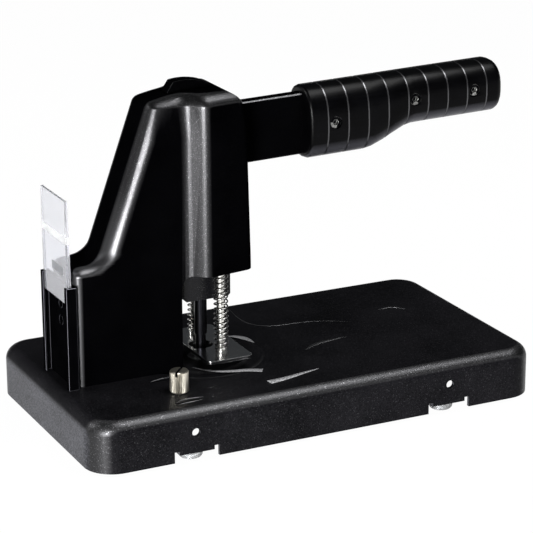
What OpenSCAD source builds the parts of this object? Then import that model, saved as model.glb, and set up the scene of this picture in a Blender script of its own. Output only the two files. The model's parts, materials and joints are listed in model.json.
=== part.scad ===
// Heavy duty hole punch with one punch, a sprung stripper plate and a cam lever.
// X runs along the base toward the handle, Y away from the viewer, Z up.
// The origin is on the floor, under the middle of the whole outline. Millimetres.

/* [Base] */
// Length of the base
base_l = 280; // [278:1:310]
// Width of the base
base_w = 154; // [150:1:176]
// Height of the pressed base cover
base_h = 29; // [29:0.5:36]
// Thickness of the base sheet
sheet_t = 2; // [1.6:0.1:2.2]
// Corner radius of the base seen from above
base_corner_r = 17.4; // [15:0.2:24]
// Radius of the rolled edge round the top of the base
base_edge_r = 7.7; // [5:0.1:9]
// Diameter of the holes in the side walls
side_hole_d = 4.8; // [4:0.1:6]
// Distance between the two holes of one side wall
side_hole_pitch = 161; // [150:1:190]
// Height of the side holes over the lower edge of the wall
side_hole_h = 16; // [13:0.5:18]
// Distance along the base between the folded foot tabs
tab_pitch = 160; // [150:1:180]
// Width of the opening that a folded tab leaves in the wall
tab_open_w = 27; // [26:0.5:34]
// Height of the folded tab over the lower edge of the wall
tab_lift = 4; // [3.6:0.1:5]
// Length of the folded tab from the outside of the wall
tab_reach = 18; // [17.6:0.5:22]
// Depth of the dished ring round the die
dish_depth = 1.2; // [0.8:0.1:1.3]
// Radius of the middle of the dished ring
dish_r = 31; // [30:0.5:32]
// Width of the dished ring
dish_w = 14; // [12:0.5:14]

/* [Feet] */
// Distance from the floor to the lower edge of the base wall
foot_drop = 1.5; // [1:0.1:3]
// Diameter of a rubber foot
foot_d = 14; // [13:0.5:15]

/* [Side guide seat] */
// Distance from the punch axis back to the middle of the guide slots
guide_back = 37.2; // [35:0.5:40]
// Distance from the middle plane to the middle of the guide slots
guide_side = 45.3; // [44:0.5:48]
// Distance between the two guide slots
guide_slot_gap = 36.5; // [34:0.5:38]
// Length of a guide slot
guide_slot_l = 15; // [12:0.5:18]
// Width of a guide slot
guide_slot_w = 2; // [1.6:0.1:2.4]
// Thread diameter of the thumbscrew
thumb_d = 5; // [4:0.5:6]
// Diameter of the knurled head of the thumbscrew
thumb_head_d = 10.8; // [10:0.2:13]
// Height of the thumbscrew head
thumb_head_h = 12.6; // [10:0.2:16]

/* [Punch and die] */
// Distance from the middle of the base back to the punch axis
punch_back = 42.3; // [40:0.5:48]
// Diameter of the hole that is punched
hole_d = 6; // [5:0.5:7]
// Diameter of the punch shank
shank_d = 7.4; // [7:0.1:8]
// Length of the cutting end of the punch
tip_l = 9; // [8.5:0.1:10]
// Diameter of the die
die_d = 16; // [14:0.5:18]
// Length of the cutting land inside the die
die_land = 4; // [3:0.5:6]
// Stroke of the ram
ram_stroke = 8; // [7:0.25:8]
// Height of the punch tip over the base at rest
tip_rest_h = 5.1; // [4.9:0.1:5.2]

/* [Throat] */
// Depth of the throat behind the punch axis
throat_depth = 19; // [18.4:0.1:19.4]
// Clear height of the throat
throat_h = 56; // [55:0.5:57]
// Radius of the arch at the back of the throat
arch_r = 7.6; // [6.5:0.1:8]

/* [Tower cover] */
// Wall thickness of the tower cover
wall = 2; // [1.6:0.1:2.1]
// Distance from the punch axis back to the rear face
tower_back = 83.7; // [83:0.1:86]
// Height of the rear shoulder over the base
shoulder_h = 68.7; // [67:0.1:70]
// Height of the tower over the base
tower_h = 160.8; // [160:0.2:164]
// Slope of the back of the tower
back_slope = 70.1; // [69:0.1:71]
// Distance from the punch axis forward to the front face at the head's lower edge
head_front = 23.8; // [23.5:0.1:26]
// How far the front face leans back over its height
front_lean = 2.6; // [1.5:0.1:2.8]
// Half the width of the narrow column
column_half_w = 17.3; // [17.2:0.1:19]
// Half the width of the head at its widest
head_half_w = 26; // [25.8:0.1:28]
// Half the width of the head at its front face
nose_half_w = 22; // [21:0.1:23]
// Radius of the two arcs that widen the column into the head
flare_r = 10; // [9:0.2:11]
// Edge radius on the slope, top and front of the tower
edge_r = 10; // [8.5:0.2:10.4]
// Edge radius of the upright front edges of the head
front_edge_r = 4.6; // [4:0.2:6]
// Edge radius low on the rear of the column
rear_edge_r = 5; // [4.2:0.2:7]
// Half the width of the top slot and of the front opening
slot_half_w = 6.5; // [5.5:0.1:7]

/* [Frame] */
// Thickness of a frame plate
frame_t = 3.5; // [3:0.1:3.6]
// Height of the lever pivot over the base
pivot_h = 126.9; // [126.5:0.1:128]
// Diameter of the pivot pin
pivot_d = 10; // [8:0.5:12]
// Outer diameter of the pivot bush
bush_d = 14; // [13.5:0.5:18]
// Diameter of the stop pin
stop_d = 6; // [5:0.2:6.2]
// Thickness of the bolster
bolster_t = 10; // [8:0.5:11]
// Half the width of the bolster
bolster_half_w = 17; // [16:0.5:20]

/* [Ram] */
// Length of the ram along the base
ram_l = 29; // [28:0.5:29.4]
// Width of the ram
ram_w = 20; // [18:0.5:20]
// Height of the underside of the ram over the base at rest
ram_rest_h = 37.5; // [36:0.5:40]
// Diameter of the head of the ram pad
pad_d = 12; // [9:0.5:12]
// Height of the head of the ram pad
pad_h = 6; // [6:0.25:7]

/* [Stripper] */
// Length of the stripper plate along the base
plate_l = 28.5; // [27:0.5:30]
// Width of the stripper plate
plate_w = 59; // [50:1:62]
// Thickness of the stripper plate
plate_t = 2; // [1.5:0.1:2.4]
// Height of the underside of the stripper plate over the base at rest
plate_rest_h = 4.9; // [4.8:0.1:5.2]
// Diameter of the hole in the stripper plate round the punch
plate_hole_d = 14; // [10:0.5:14.5]
// Diameter of a guide rod
rod_d = 5; // [4:0.1:5.2]
// Distance from the punch axis forward to the guide rods
rod_front = 4.5; // [4:0.1:5]
// Distance from the middle plane to a guide rod
rod_side = 18.4; // [18.2:0.1:18.5]
// Outer diameter of a stripper spring
spring_d = 8.6; // [8:0.1:8.7]
// Wire diameter of a stripper spring
spring_wire = 0.9; // [0.8:0.1:1.1]
// Height of a rod collar
collar_h = 2.3; // [1.5:0.1:4]

/* [Lever] */
// Sweep of the lever from rest to the end of the stroke
lever_sweep = 26; // [25:0.5:27]
// Thickness of the lever bar
lever_t = 8; // [7:0.5:9]
// Height of the lever bar
lever_h = 35.8; // [34.6:0.2:37]
// Distance from the pivot line down to the lower edge of the lever bar
lever_below = 14.9; // [14.2:0.1:15.4]
// Upward slope of the lever at rest
lever_tilt = 1.6; // [1.2:0.1:2]
// Radius of the lever hub
hub_r = 21; // [19.5:0.5:21.2]
// Distance from the pivot to the ram pad at rest
nose_drop = 22; // [21.8:0.1:22.4]
// Radius of the rounded top of the hub
crest_r = 38; // [36:0.5:38.5]

/* [Grip] */
// Distance from the pivot to the front end of the grip
grip_start = 82; // [80:1:84]
// Length of the grip
grip_l = 128.5; // [128:0.5:134]
// Depth of the grip from its near face to its far face
grip_depth = 30; // [28:0.5:36]
// Distance from the pivot line up to the top of the grip
grip_top = 24.9; // [24.4:0.1:26]
// Height of the grip at its front end
grip_front_h = 42.8; // [42:0.1:44]
// Height of the grip at its slim end
grip_slim_h = 31.5; // [30:0.1:33]
// Distance between the ring grooves
groove_pitch = 13.2; // [12:0.1:14]
// Width of a ring groove
groove_w = 1.2; // [0.8:0.1:1.6]
// Depth of a ring groove
groove_depth = 0.6; // [0.4:0.1:1]
// Diameter of a grip screw
grip_screw_d = 4; // [3:0.5:4]

/* [Rear channel and door] */
// Height of the rear channel
channel_h = 60; // [58:0.5:62]
// Half the width of the rear channel
channel_half_w = 20; // [19.6:0.1:22]
// Depth of the rear channel
channel_depth = 6; // [5.6:0.1:7]
// Length of the clear door
door_l = 60; // [56:0.5:62]
// Thickness of the clear door
door_t = 1.4; // [1:0.1:1.6]
// How far the door stands raised at rest
door_raised = 49; // [44:0.5:50]

/* [Clearances] */
// Running clearance on a radius
run_gap = 0.05; // [0.03:0.01:0.08]
// Clearance between parts that are fitted by hand, on each side
fit_gap = 0.1; // [0.06:0.01:0.14]
// Clearance between curved faces that pass or rest on each other
face_gap = 0.3; // [0.25:0.01:0.32]
// Clearance between the lever nose and the ram pad
cam_gap = 0.2; // [0.1:0.01:0.3]

/* [Hidden] */

$fn = 64;
eps = 0.01;

// Levels and places that many parts share, seen from the die's centre on the base top
base_top = foot_drop + base_h;
head_z = throat_h;
bolster_top = -sheet_t;
bolster_z = bolster_top - bolster_t;
dish_bow = (pow(dish_w / 2, 2) + pow(dish_depth, 2)) / (2 * dish_depth);
plate_half_gap = ram_w / 2 + 0.15;
frame_out = plate_half_gap + frame_t;
throat_x = -throat_depth;
arch_z = head_z - arch_r;

// Cam and pivot: the nose is an involute, so the ram moves in step with the lever
sweep_rad = lever_sweep * PI / 180;
cam_r = ram_stroke / sweep_rad;
pivot_x = -cam_r;
pad_top = pivot_h - nose_drop;
ram_top = pad_top - pad_h;

// Place of the base: the grip reaches past it, so its middle lies behind the origin
base_x = (base_l / 2 + punch_back - pivot_x - (grip_start + grip_l) * cos(lever_tilt)) / 2;

// Threads and screws
bolt_d = 8;
bolt_xs = [-67, -46];
frame_screw_d = 4;
guide_screw_d = 3;
tray_screw_d = 3;
foot_screw_d = 4;
set_screw_d = 4;
screw_play = 0.1;

// Frame outline
frame_rear = -tower_back + wall + 6;
frame_top = pivot_h + 14.6;
frame_nose = 20.1;
frame_shelf = 27;
frame_shelf_drops = [7.7, 5.2];
frame_bend_rise = 17;
frame_corner = 6;
guide_t = 5;
guide_z = head_z + 2.6;
guide_gap = 0.4;
guide_top_gap = 1.1;
opening_low = pivot_h - 38.4;
opening_high = tower_h - 8.3;
lug_h = 8.4;
lug_z = ram_top - lug_h;
guide_front_h = opening_low - guide_top_gap - guide_z;
guide_rear_h = lug_z - ram_stroke - guide_gap - guide_z;
guide_front_zs = [guide_z + 0.18 * guide_front_h, guide_z + 0.82 * guide_front_h];
guide_rear_zs = [guide_z + 0.2 * guide_rear_h, guide_z + 0.8 * guide_rear_h];
foot_block_rear = frame_rear + 3;
foot_block_front = throat_x - 5;
foot_block_h = 13.5;
foot_screw_xs = [foot_block_rear + 8, foot_block_front - 10];
rear_block_front = -tower_back + 13;
rear_block_z = 31.5;
rear_block_h = 18;
rear_screw_z = rear_block_z + rear_block_h / 2;
channel_screw_zs = [rear_block_z + 4, rear_block_z + rear_block_h - 4];

// Crosshead, rods and stripper
cross_w = rod_d + 3.8;
cross_h = 12;
pad_in = 9.5;
pad_floor = 9.9;
cross_z = ram_top - pad_in - pad_floor - cross_h;
plate_back = 8.7;
plate_top = plate_rest_h + plate_t;
collar_top = plate_top + collar_h;
rod_ys = [-rod_side, rod_side];
rod_head_d = 8;
rod_head_h = 4;
spring_curls = 20;
spring_low = collar_top + fit_gap;
spring_high = cross_z - fit_gap;
spring_mean_r = (spring_d - spring_wire) / 2;

// Return spring behind the ram
lug_back = 20.2;
lug_half_w = 8;
return_x = -ram_l / 2 - 13.2;
return_d = 12;
return_wire = 1.6;
return_pitch = 2.8;
seat_h = 6;
seat_z = head_z - 0.5;
seat_top = seat_z + seat_h;
return_curls = floor((lug_z - seat_top - 2 * return_wire) / return_pitch);
seat_l = 13;
seat_x = return_x;

// Springs: rings for each curl and sides of the wire
curl_rings = 8;
wire_sides = 6;

// Tower profile, seen from the side: rear face, shoulder, fillet, slope, crown, roof and brow
fillet_r = 12;
shelf_turn = 4;
crown_r = 6;
crown_turn = 14;
roof_r = 110;
roof_ahead = 12;
brow_r = 16;
arc_step = 16;
roof_x = pivot_x + roof_ahead;
roof_end = [roof_x, tower_h - roof_r] + roof_r * ray(90 + crown_turn);
crown_c = roof_end - crown_r * ray(90 + crown_turn);
slope_top = crown_c + crown_r * ray(90 + back_slope);
heel_c = [-tower_back + rear_edge_r, shoulder_h - rear_edge_r];
shelf_start = heel_c + rear_edge_r * ray(90 + shelf_turn);
fillet_c = meet(shelf_start + fillet_r * ray(90 + shelf_turn), shelf_turn,
                slope_top + fillet_r * ray(90 + back_slope), back_slope);
brow_c = [head_front - front_lean - brow_r, tower_h - brow_r];

// Rings of the tower loft: heights, and steps round an edge
edge_steps = 6;
side_steps = [3, 7, 13, 21];
flare_top_x = throat_x + 2 * flare_r * sin(flare_turn());
flare_xs = [for (k = [0:8]) throat_x + (flare_top_x - throat_x) * k / 8];
slope_zs = [for (k = [1:3]) fillet_c[1] + (slope_top[1] - fillet_c[1]) * k / 4];

// Lever outline, seen from the side with the pivot at its origin
crest_c = [7.9, 1.1];
crest_rear = -2.6;
crest_front_r = 42;
crest_limits = [[crest_rear, 0], [crest_rear, 33.2], [crest_rear + 5.5, 41], [22, 41], [30, 28], [40, 20], [40, 0]];
heel_drop = 14.2;
heel_back = 21.5;
nose_start = -4;
nose_over = 3;
tang_start = grip_start + 22;
tang_low = 0;
tang_h = 19;
tang_end = grip_start + grip_l - 12;
bar_chamfer = 0.7;

// Grip sections
grip_round = 2.5;
grip_side_steps = 13;
grip_end_r = 5;
grip_front_r = 2;
grip_waist = 37;
grip_waist_l = 34;
groove_first = grip_start + 11.2;
grooves = 9;
groove_rest = groove_pitch / 3;
grip_screw_us = [grip_start + 16.2, grip_start + 68.7, grip_start + 108.7];
grip_screw_vs = [3.7, 10, 10];
grip_head_d = 7;
grip_head_h = 4;
grip_head_sink = 1.2;

// Stop pin under the heel of the lever
stop_x = pivot_x - 18.5;
stop_z = pivot_h - heel_drop - face_gap - stop_d / 2;

// Rear channel and door
channel_wall = 1.6;
channel_back_t = 2;
channel_lip_t = 1;
channel_lip_w = 3.5;
door_half_w = channel_half_w - channel_wall - face_gap;
door_x = -tower_back - channel_depth + channel_lip_t + fit_gap;
door_low_z = door_raised + 0.8;
door_flange_t = 1.2;
door_flange_low = channel_depth - channel_lip_t - channel_back_t - 2 * fit_gap;
door_flange_high = door_t + 0.5;

// Thumbscrew place
thumb_x = -guide_back + 2.5;
thumb_y = -guide_side - 1.7;
knurls = 36;

// Chip tray
tray_l = 30;
tray_w = 30;
tray_h = 14;
tray_wall = 1.5;
tray_ear = 7;
tray_ear_w = 12;
tray_head_h = 1.8;
tray_screw_l = 6;

// Small sizes of single pieces
frame_screw_l = 9;
foot_y = foot_d / 2 + 2.6;
tab_notch = 3;
tab_notch_h = 6.4;
foot_round = 2.5;
foot_recess_r = 3.4;
foot_recess_h = 2.4;
foot_head_h = 1.6;
foot_nut_h = 2.4;
tray_screw_xs = [-tray_l / 2 - tray_ear / 2, tray_l / 2 + tray_ear / 2];
slope_in = 6.4;
plate_clear = 0.6;
cross_clear = 0.4;
channel_screw_l = 9;
guide_front_x = ram_l / 2 + fit_gap;
guide_rear_x = -ram_l / 2 - fit_gap;
slot_rear = pivot_x - 4.1;
slot_front = pivot_x + 30;
slot_depth = 14;
ring_t = 0.9;
ring_groove = 0.6;
ring_w = 2;
spacer_w = 4;
pin_half_l = frame_out + 1.3;
press_gap = 0.02;
bolster_rear = -76;
bolster_front = 24;
die_ledge = 2;
punch_floor = 10;
punch_in = cross_z - punch_floor - ram_rest_h;
pad_shank_d = 8;
pad_shank_gap = 0.5;
ram_chamfer = 1.5;
spigot_h = 12;
spigot_r = (return_d - return_wire) / 2 * cos(180 / curl_rings) - return_wire / 2 - face_gap;
plate_corner_r = 3;
collar_t = 1;
rod_top = cross_z + cross_h + fit_gap + rod_head_h + 0.5;
set_screw_zs = [ram_rest_h + punch_in / 2, cross_z + cross_h / 2];
set_screw_tips = [shank_d / 2 + fit_gap, rod_front + cross_w / 2 + fit_gap];
grip_nut_h = 3;
knurl_depth = 0.3;
thumb_chamfer = 0.6;
thumb_slot_w = 1.4;
thumb_slot_depth = 2.4;
thumb_nut_h = 4;

// Places of the countersunk screws on each frame plate: x, z, thread
frame_screw_places = concat(
  [for (x = foot_screw_xs) [x, foot_block_h / 2, frame_screw_d]],
  [[rear_block_front - 4.5, rear_screw_z, frame_screw_d]],
  [[seat_x, seat_z + seat_h / 2, guide_screw_d]],
  [for (z = guide_front_zs) [guide_front_x + guide_t / 2, z, guide_screw_d]],
  [for (z = guide_rear_zs) [guide_rear_x - guide_t / 2, z, guide_screw_d]]);

function ray(a) = [cos(a), sin(a)];

// Point where the line through p at angle a meets the line through q at angle b
function meet(p, a, q, b) =
  p + ray(a) * ((q[0] - p[0]) * sin(b) - (q[1] - p[1]) * cos(b)) / sin(b - a);

// Points on an arc from angle a to angle b
function arc(c, r, a, b) =
  let (n = max(2, ceil(abs(b - a) / arc_step)))
  [for (k = [0:n]) c + r * ray(a + (b - a) * k / n)];

function flare_turn() = acos(1 - (head_half_w - column_half_w) / (2 * flare_r));

// Rear outline of the tower from the base to the roof, moved inward by t
function rear_line(t) = concat(
  [[-tower_back + t, 0]],
  arc(heel_c, rear_edge_r - t, 180, 90 + shelf_turn),
  arc(fillet_c, fillet_r + t, shelf_turn - 90, back_slope - 90),
  arc(crown_c, crown_r - t, 90 + back_slope, 90 + crown_turn),
  [for (a = [11, 8, 5, 2.5]) [roof_x, tower_h - roof_r] + (roof_r - t) * ray(90 + a)],
  [[roof_x, tower_h - t]]
);

// Rear and front X of the tower at height z, moved inward by t
function rear_x(z, t) = lookup(z, [for (p = rear_line(t)) [p[1], p[0]]]);
function front_x(z, t) =
  z > brow_c[1]
    ? brow_c[0] + sqrt(max(0, pow(brow_r - t, 2) - pow(z - brow_c[1], 2)))
    : head_front - t - front_lean * max(0, z - head_z) / (brow_c[1] - head_z);

// Half the width of the tower at x: column, two flare arcs, then the taper to the front
function half_w(x) =
  let (mid = throat_x + flare_r * sin(flare_turn()),
       slim = nose_half_w + (head_half_w - nose_half_w) * (head_front - x) / (head_front - flare_top_x))
  x < throat_x ? column_half_w
  : x < mid ? column_half_w + flare_r - sqrt(pow(flare_r, 2) - pow(x - throat_x, 2))
  : x < flare_top_x ? head_half_w - flare_r + sqrt(pow(flare_r, 2) - pow(flare_top_x - x, 2))
  : slim;

function seg_gap(p, a, b) =
  let (d = b - a, u = max(0, min(1, ((p - a) * d) / (d * d)))) norm(p - a - u * d);

// Depth of the point x, z inside the side outline
function depth_in(x, z, t, line) =
  max(0, min(tower_h - t - z,
             min([for (k = [0:len(line) - 2]) seg_gap([x, z], line[k], line[k + 1])])));

// Edge radius: small on the low rear, large above the shoulder and on the head
function edge_at(x, z) = x > throat_x ? edge_r : rear_edge_r + (edge_r - rear_edge_r)
  * max(0, min(1, (z - shoulder_h + 6) / 12));

// How far an edge of radius r draws the side in at the depth d
function edge_loss(r, d) = d >= r ? 0 : r - sqrt(max(0, r * r - pow(r - max(0, d), 2)));

// Half width of the rounded tower at x, z, moved inward by t
function skin_y(x, z, t, line) =
  half_w(x) - t - max(edge_loss(edge_at(x, z) - t, depth_in(x, z, t, line)),
                      edge_loss(front_edge_r - t, front_x(z, t) - x));

// One half of a level ring of the tower, from rear to front
function ring_xs(z, t) =
  let (a = rear_x(z, t), b = front_x(z, t),
       ra = min(edge_at(a, z) - t, 0.45 * (b - a)),
       rb = min(front_edge_r - t, 0.45 * (b - a)), n = len(flare_xs), m = len(side_steps))
  concat(
    [for (k = [0:edge_steps]) a + ra * (1 - cos(90 * k / edge_steps))],
    [for (k = [0:m - 1]) max(a + ra + 0.05 * (k + 1), min(a + ra + side_steps[k], throat_x - m + k))],
    [for (k = [0:n - 1]) max(a + ra + 0.05 * (m + k + 1), min(flare_xs[k], b - rb - 0.05 * (n - k)))],
    [for (k = [edge_steps:-1:0]) b - rb * (1 - cos(90 * k / edge_steps))]);

function tower_ring(z, t) =
  let (line = rear_line(t), xs = ring_xs(z, t), ys = [for (x = xs) skin_y(x, z, t, line)],
       n = len(xs))
  concat([for (k = [0:n - 1]) [xs[k], ys[k], z]],
         [for (k = [n - 1:-1:0]) [xs[k], -ys[k], z]]);

function tower_zs(t) = concat(
  [0, arch_z],
  [for (p = rear_line(t)) if (p[1] > arch_z + 1 && p[1] < fillet_c[1]) p[1]],
  slope_zs,
  [for (p = rear_line(t)) if (p[1] > slope_zs[2] && p[1] < tower_h - t - 0.1) p[1]],
  [tower_h - t]);

// Closed solid through rings that hold the same number of points each
module loft(rings) {
  n = len(rings[0]);
  m = len(rings);
  points = [for (r = rings) for (p = r) p];
  sides = [for (j = [0:m - 2]) for (k = [0:n - 1])
    let (a = j * n + k, b = j * n + (k + 1) % n)
    each [[a, b + n, a + n], [a, b, b + n]]];
  floor_cap = [for (k = [1:n / 2 - 1]) each [[k, k - 1, n - 1 - k], [n - 1 - k, k - 1, n - k]]];
  top = (m - 1) * n;
  top_cap = [for (k = [1:n / 2 - 1])
    each [[top + k - 1, top + k, top + n - 1 - k], [top + k - 1, top + n - 1 - k, top + n - k]]];
  polyhedron(points = points, faces = concat(sides, floor_cap, top_cap), convexity = 6);
}

// Unbroken coil spring that stands on z = 0: straight ends, then the curls between them
function coil_centres(r, wire, high, curls) =
  let (n = curls * curl_rings)
  concat([[r, 0, 0]],
         [for (k = [0:n])
           let (a = 360 * k / curl_rings)
           [r * cos(a), r * sin(a), wire + (high - 2 * wire) * k / n]],
         [[r, 0, high]]);

// How each ring leans: flat at the ends, mitred at the corners, upright along the curls
function coil_lean(k, n) =
  k == 0 || k == n ? [0, -1] : k == 1 || k == n - 1 ? [1, -1] : [1, 0];

function coil_ring(c, a, lean, wire) =
  let (out = [cos(a), sin(a), 0], along = [-sin(a), cos(a), 0])
  [for (s = [0:wire_sides - 1])
    let (t = 360 * s / wire_sides)
    c + wire / 2 * (cos(t) * out + sin(t) * (lean[0] * [0, 0, 1] + lean[1] * along))];

// Least gap between one stretch of the wire and another, measured between ring centres
function coil_gap(c, wire) =
  min([for (k = [0:len(c) - 1 - curl_rings]) for (j = [k + curl_rings - 1:min(len(c) - 1, k + curl_rings + 1)])
    norm(c[j] - c[k])]) - wire;

module coil(r, wire, high, curls) {
  centres = coil_centres(r, wire, high, curls);
  n = len(centres) - 1;
  w = wire_sides;
  echo(coil_gap = coil_gap(centres, wire));
  points = [for (k = [0:n])
    let (a = k == 0 || k == n ? 0 : 360 * (k - 1) / curl_rings)
    each coil_ring(centres[k], a, coil_lean(k, n), wire)];
  sides = [for (k = [0:n - 1]) for (s = [0:w - 1])
    let (a = k * w + s, b = k * w + (s + 1) % w)
    each [[a, b, b + w], [a, b + w, a + w]]];
  ends = [for (s = [1:w - 2]) each [[0, s + 1, s], [n * w, n * w + s, n * w + s + 1]]];
  polyhedron(points = points, faces = concat(sides, ends), convexity = 10);
}

// Frame of the base: the middle of its outline on the floor
module at_base() {
  translate([base_x, 0, 0]) children();
}

// Frame of the die: its centre on the base top
module at_punch() {
  translate([base_x - punch_back, 0, base_top]) children();
}

// Box between two corners
module block(a, b) {
  translate(a) cube(b - a);
}

// Cylinder along Y between two places
module bar_y(x, z, r, y0, y1) {
  translate([x, y0, z]) rotate([-90, 0, 0]) cylinder(h = y1 - y0, r = r);
}

// Side outline drawn in X and Z, pushed along Y between two places
module side_plate(y0, y1) {
  translate([0, y1, 0]) rotate([90, 0, 0]) linear_extrude(y1 - y0) children();
}

// Countersunk screw along Z: its flat head ends at z = 0 and its shank points down
module flat_screw(d, len) {
  translate([0, 0, -len]) cylinder(h = len, r = d / 2);
  translate([0, 0, -0.35 * d]) cylinder(h = 0.35 * d, r1 = d / 2, r2 = 0.9 * d);
}

// Hole for such a screw
module flat_hole(d, len) {
  translate([0, 0, -len]) cylinder(h = len + eps, r = d / 2 + screw_play);
  translate([0, 0, -0.35 * d]) cylinder(h = 0.35 * d + eps, r1 = d / 2 + screw_play, r2 = 0.9 * d + screw_play);
}

module at_frame_screws() {
  for (side = [0, 180]) for (p = frame_screw_places) {
    rotate([0, 0, side]) translate([(side == 0 ? 1 : -1) * p[0], -frame_out, p[1]])
      rotate([90, 0, 0]) let ($d = p[2]) children();
  }
}

// Rolled tray of the base: length, width, height, corner radius and edge radius
module tray(l, w, h, rc, re) {
  for (x = [-1, 1]) for (y = [-1, 1]) {
    translate([x * (l / 2 - rc), y * (w / 2 - rc), 0]) rotate_extrude() rolled(rc, h, re);
  }
  rotate([90, 0, 90]) translate([0, 0, rc - l / 2]) linear_extrude(l - 2 * rc) rolled_both(w / 2, h, re);
  translate([0, w / 2 - rc, 0]) rotate([90, 0, 0]) linear_extrude(w - 2 * rc) rolled_both(l / 2, h, re);
}

module rolled(half, h, re) {
  square([half, h - re]);
  square([half - re, h]);
  intersection() {
    translate([half - re, h - re]) circle(re);
    square([half, h]);
  }
}

module rolled_both(half, h, re) {
  rolled(half, h, re);
  mirror([1, 0]) rolled(half, h, re);
}

// Dished ring round the die: the lens between z = 0 and a bowed surface, grown by t
module dish(t, top) {
  rotate_extrude() intersection() {
    translate([dish_r, dish_bow - dish_depth]) circle(dish_bow + t);
    translate([dish_r - dish_w, -10]) square([2 * dish_w, 10 + top]);
  }
}

// Tabs, seen from the middle of the base on its lower edge
module at_tabs() {
  for (x = [-1, 1]) for (y = [0, 180]) {
    translate([base_x + x * tab_pitch / 2, 0, 0]) rotate([0, 0, y]) translate([0, -base_w / 2, 0]) children();
  }
}

module base_cover() {
  color("#17181a")
  difference() {
    union() {
      difference() {
        at_base() translate([0, 0, foot_drop]) tray(base_l, base_w, base_h, base_corner_r, base_edge_r);
        at_base() translate([0, 0, foot_drop - eps]) tray(base_l - 2 * sheet_t, base_w - 2 * sheet_t,
          base_h - sheet_t + eps, base_corner_r - sheet_t, base_edge_r - sheet_t);
        at_tabs() translate([-tab_open_w / 2, -1, foot_drop - 1])
          cube([tab_open_w, sheet_t + 2, tab_lift + 1]);
      }
      at_punch() dish(sheet_t, -sheet_t);
      at_tabs() translate([0, 0, foot_drop + tab_lift]) folded_tab();
    }
    at_punch() {
      dish(0, 1);
      translate([0, 0, -5]) cylinder(h = 10, r = die_d / 2 + fit_gap);
      for (x = bolt_xs) translate([x, 0, -5]) cylinder(h = 10, r = bolt_d / 2 + 2 * screw_play);
      translate([thumb_x, thumb_y, -5]) cylinder(h = 10, r = thumb_d / 2 + run_gap);
      for (y = [-1, 1]) translate([-guide_back - guide_slot_l / 2,
        y * guide_slot_gap / 2 - guide_side - guide_slot_w / 2, -5]) cube([guide_slot_l, guide_slot_w, 10]);
    }
    for (x = [-1, 1]) bar_y(base_x + x * side_hole_pitch / 2, foot_drop + side_hole_h, side_hole_d / 2,
      -base_w, base_w);
    at_tabs() for (x = [0, 1]) mirror([x, 0, 0])
      translate([tab_open_w / 2 - tab_notch, -1, foot_drop]) cube([tab_notch, sheet_t + 1.5, tab_notch_h]);
    at_tabs() translate([0, foot_y, 0]) cylinder(h = base_h / 2, r = foot_screw_d / 2 + screw_play);
  }
}

// Tab folded in from the wall, with a rounded fold
module folded_tab() {
  w = tab_open_w - 2 * tab_notch;
  difference() {
    translate([-w / 2, 0, 0]) cube([w, tab_reach, sheet_t]);
    translate([-w / 2 - 1, -eps, -eps]) difference() {
      cube([w + 2, sheet_t, sheet_t]);
      translate([-1, sheet_t, sheet_t]) rotate([0, 90, 0]) cylinder(h = w + 4, r = sheet_t);
    }
  }
}

module rubber_feet() {
  color("#c8ccd0", 0.7) at_tabs() translate([0, foot_y, 0]) rotate_extrude() difference() {
    union() {
      square([foot_d / 2 - foot_round, foot_drop + tab_lift]);
      translate([0, foot_round]) square([foot_d / 2, foot_drop + tab_lift - foot_round]);
      translate([foot_d / 2 - foot_round, foot_round]) circle(foot_round);
    }
    square([foot_recess_r, foot_recess_h]);
    square([foot_screw_d / 2 + screw_play, base_h]);
  }
}

module foot_screws() {
  color("silver") at_tabs() translate([0, foot_y, foot_recess_h]) {
    translate([0, 0, -foot_head_h]) cylinder(h = foot_head_h, r = foot_recess_r - fit_gap);
    cylinder(h = foot_drop + tab_lift + sheet_t + foot_nut_h + 0.4 - foot_recess_h, r = foot_screw_d / 2);
  }
}

module foot_nuts() {
  color("silver") at_tabs() translate([0, foot_y, foot_drop + tab_lift + sheet_t]) difference() {
    cylinder(h = foot_nut_h, r = foot_screw_d, $fn = 6);
    translate([0, 0, -1]) cylinder(h = 5, r = foot_screw_d / 2 + run_gap);
  }
}

module bolster() {
  color("#55585c") at_punch() difference() {
    block([bolster_rear, -bolster_half_w, bolster_z], [bolster_front, bolster_half_w, bolster_top]);
    dish(sheet_t + face_gap, 1);
    translate([0, 0, bolster_z + die_ledge]) cylinder(h = bolster_t, r = die_d / 2 + press_gap);
    translate([0, 0, bolster_z - 1]) cylinder(h = bolster_t, r = hole_d / 2 + 2);
    for (x = bolt_xs) translate([x, 0, bolster_z - 1]) cylinder(h = bolster_t + 2, r = bolt_d / 2 + 2 * screw_play);
    for (x = tray_screw_xs) translate([x, 0, bolster_z - 1]) cylinder(h = 8, r = tray_screw_d / 2 + screw_play);
  }
}

module bolster_bolts() {
  color("#3c3e42") at_punch() for (x = bolt_xs) translate([x, 0, bolster_z]) {
    cylinder(h = bolster_t + sheet_t + foot_block_h - 3, r = bolt_d / 2);
    translate([0, 0, -bolt_d]) difference() {
      cylinder(h = bolt_d, r = 0.8 * bolt_d);
      translate([0, 0, -1]) cylinder(h = bolt_d / 2 + 1, r = 0.43 * bolt_d, $fn = 6);
    }
  }
}

module die() {
  color("#8c8f94") at_punch() difference() {
    translate([0, 0, bolster_z + die_ledge]) cylinder(h = -bolster_z - die_ledge, r = die_d / 2);
    translate([0, 0, -die_land - eps]) cylinder(h = die_land + 1, r = hole_d / 2 + run_gap);
    translate([0, 0, bolster_z - 1]) cylinder(h = -bolster_z - die_land + 1, r = hole_d / 2 + 1);
  }
}

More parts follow.
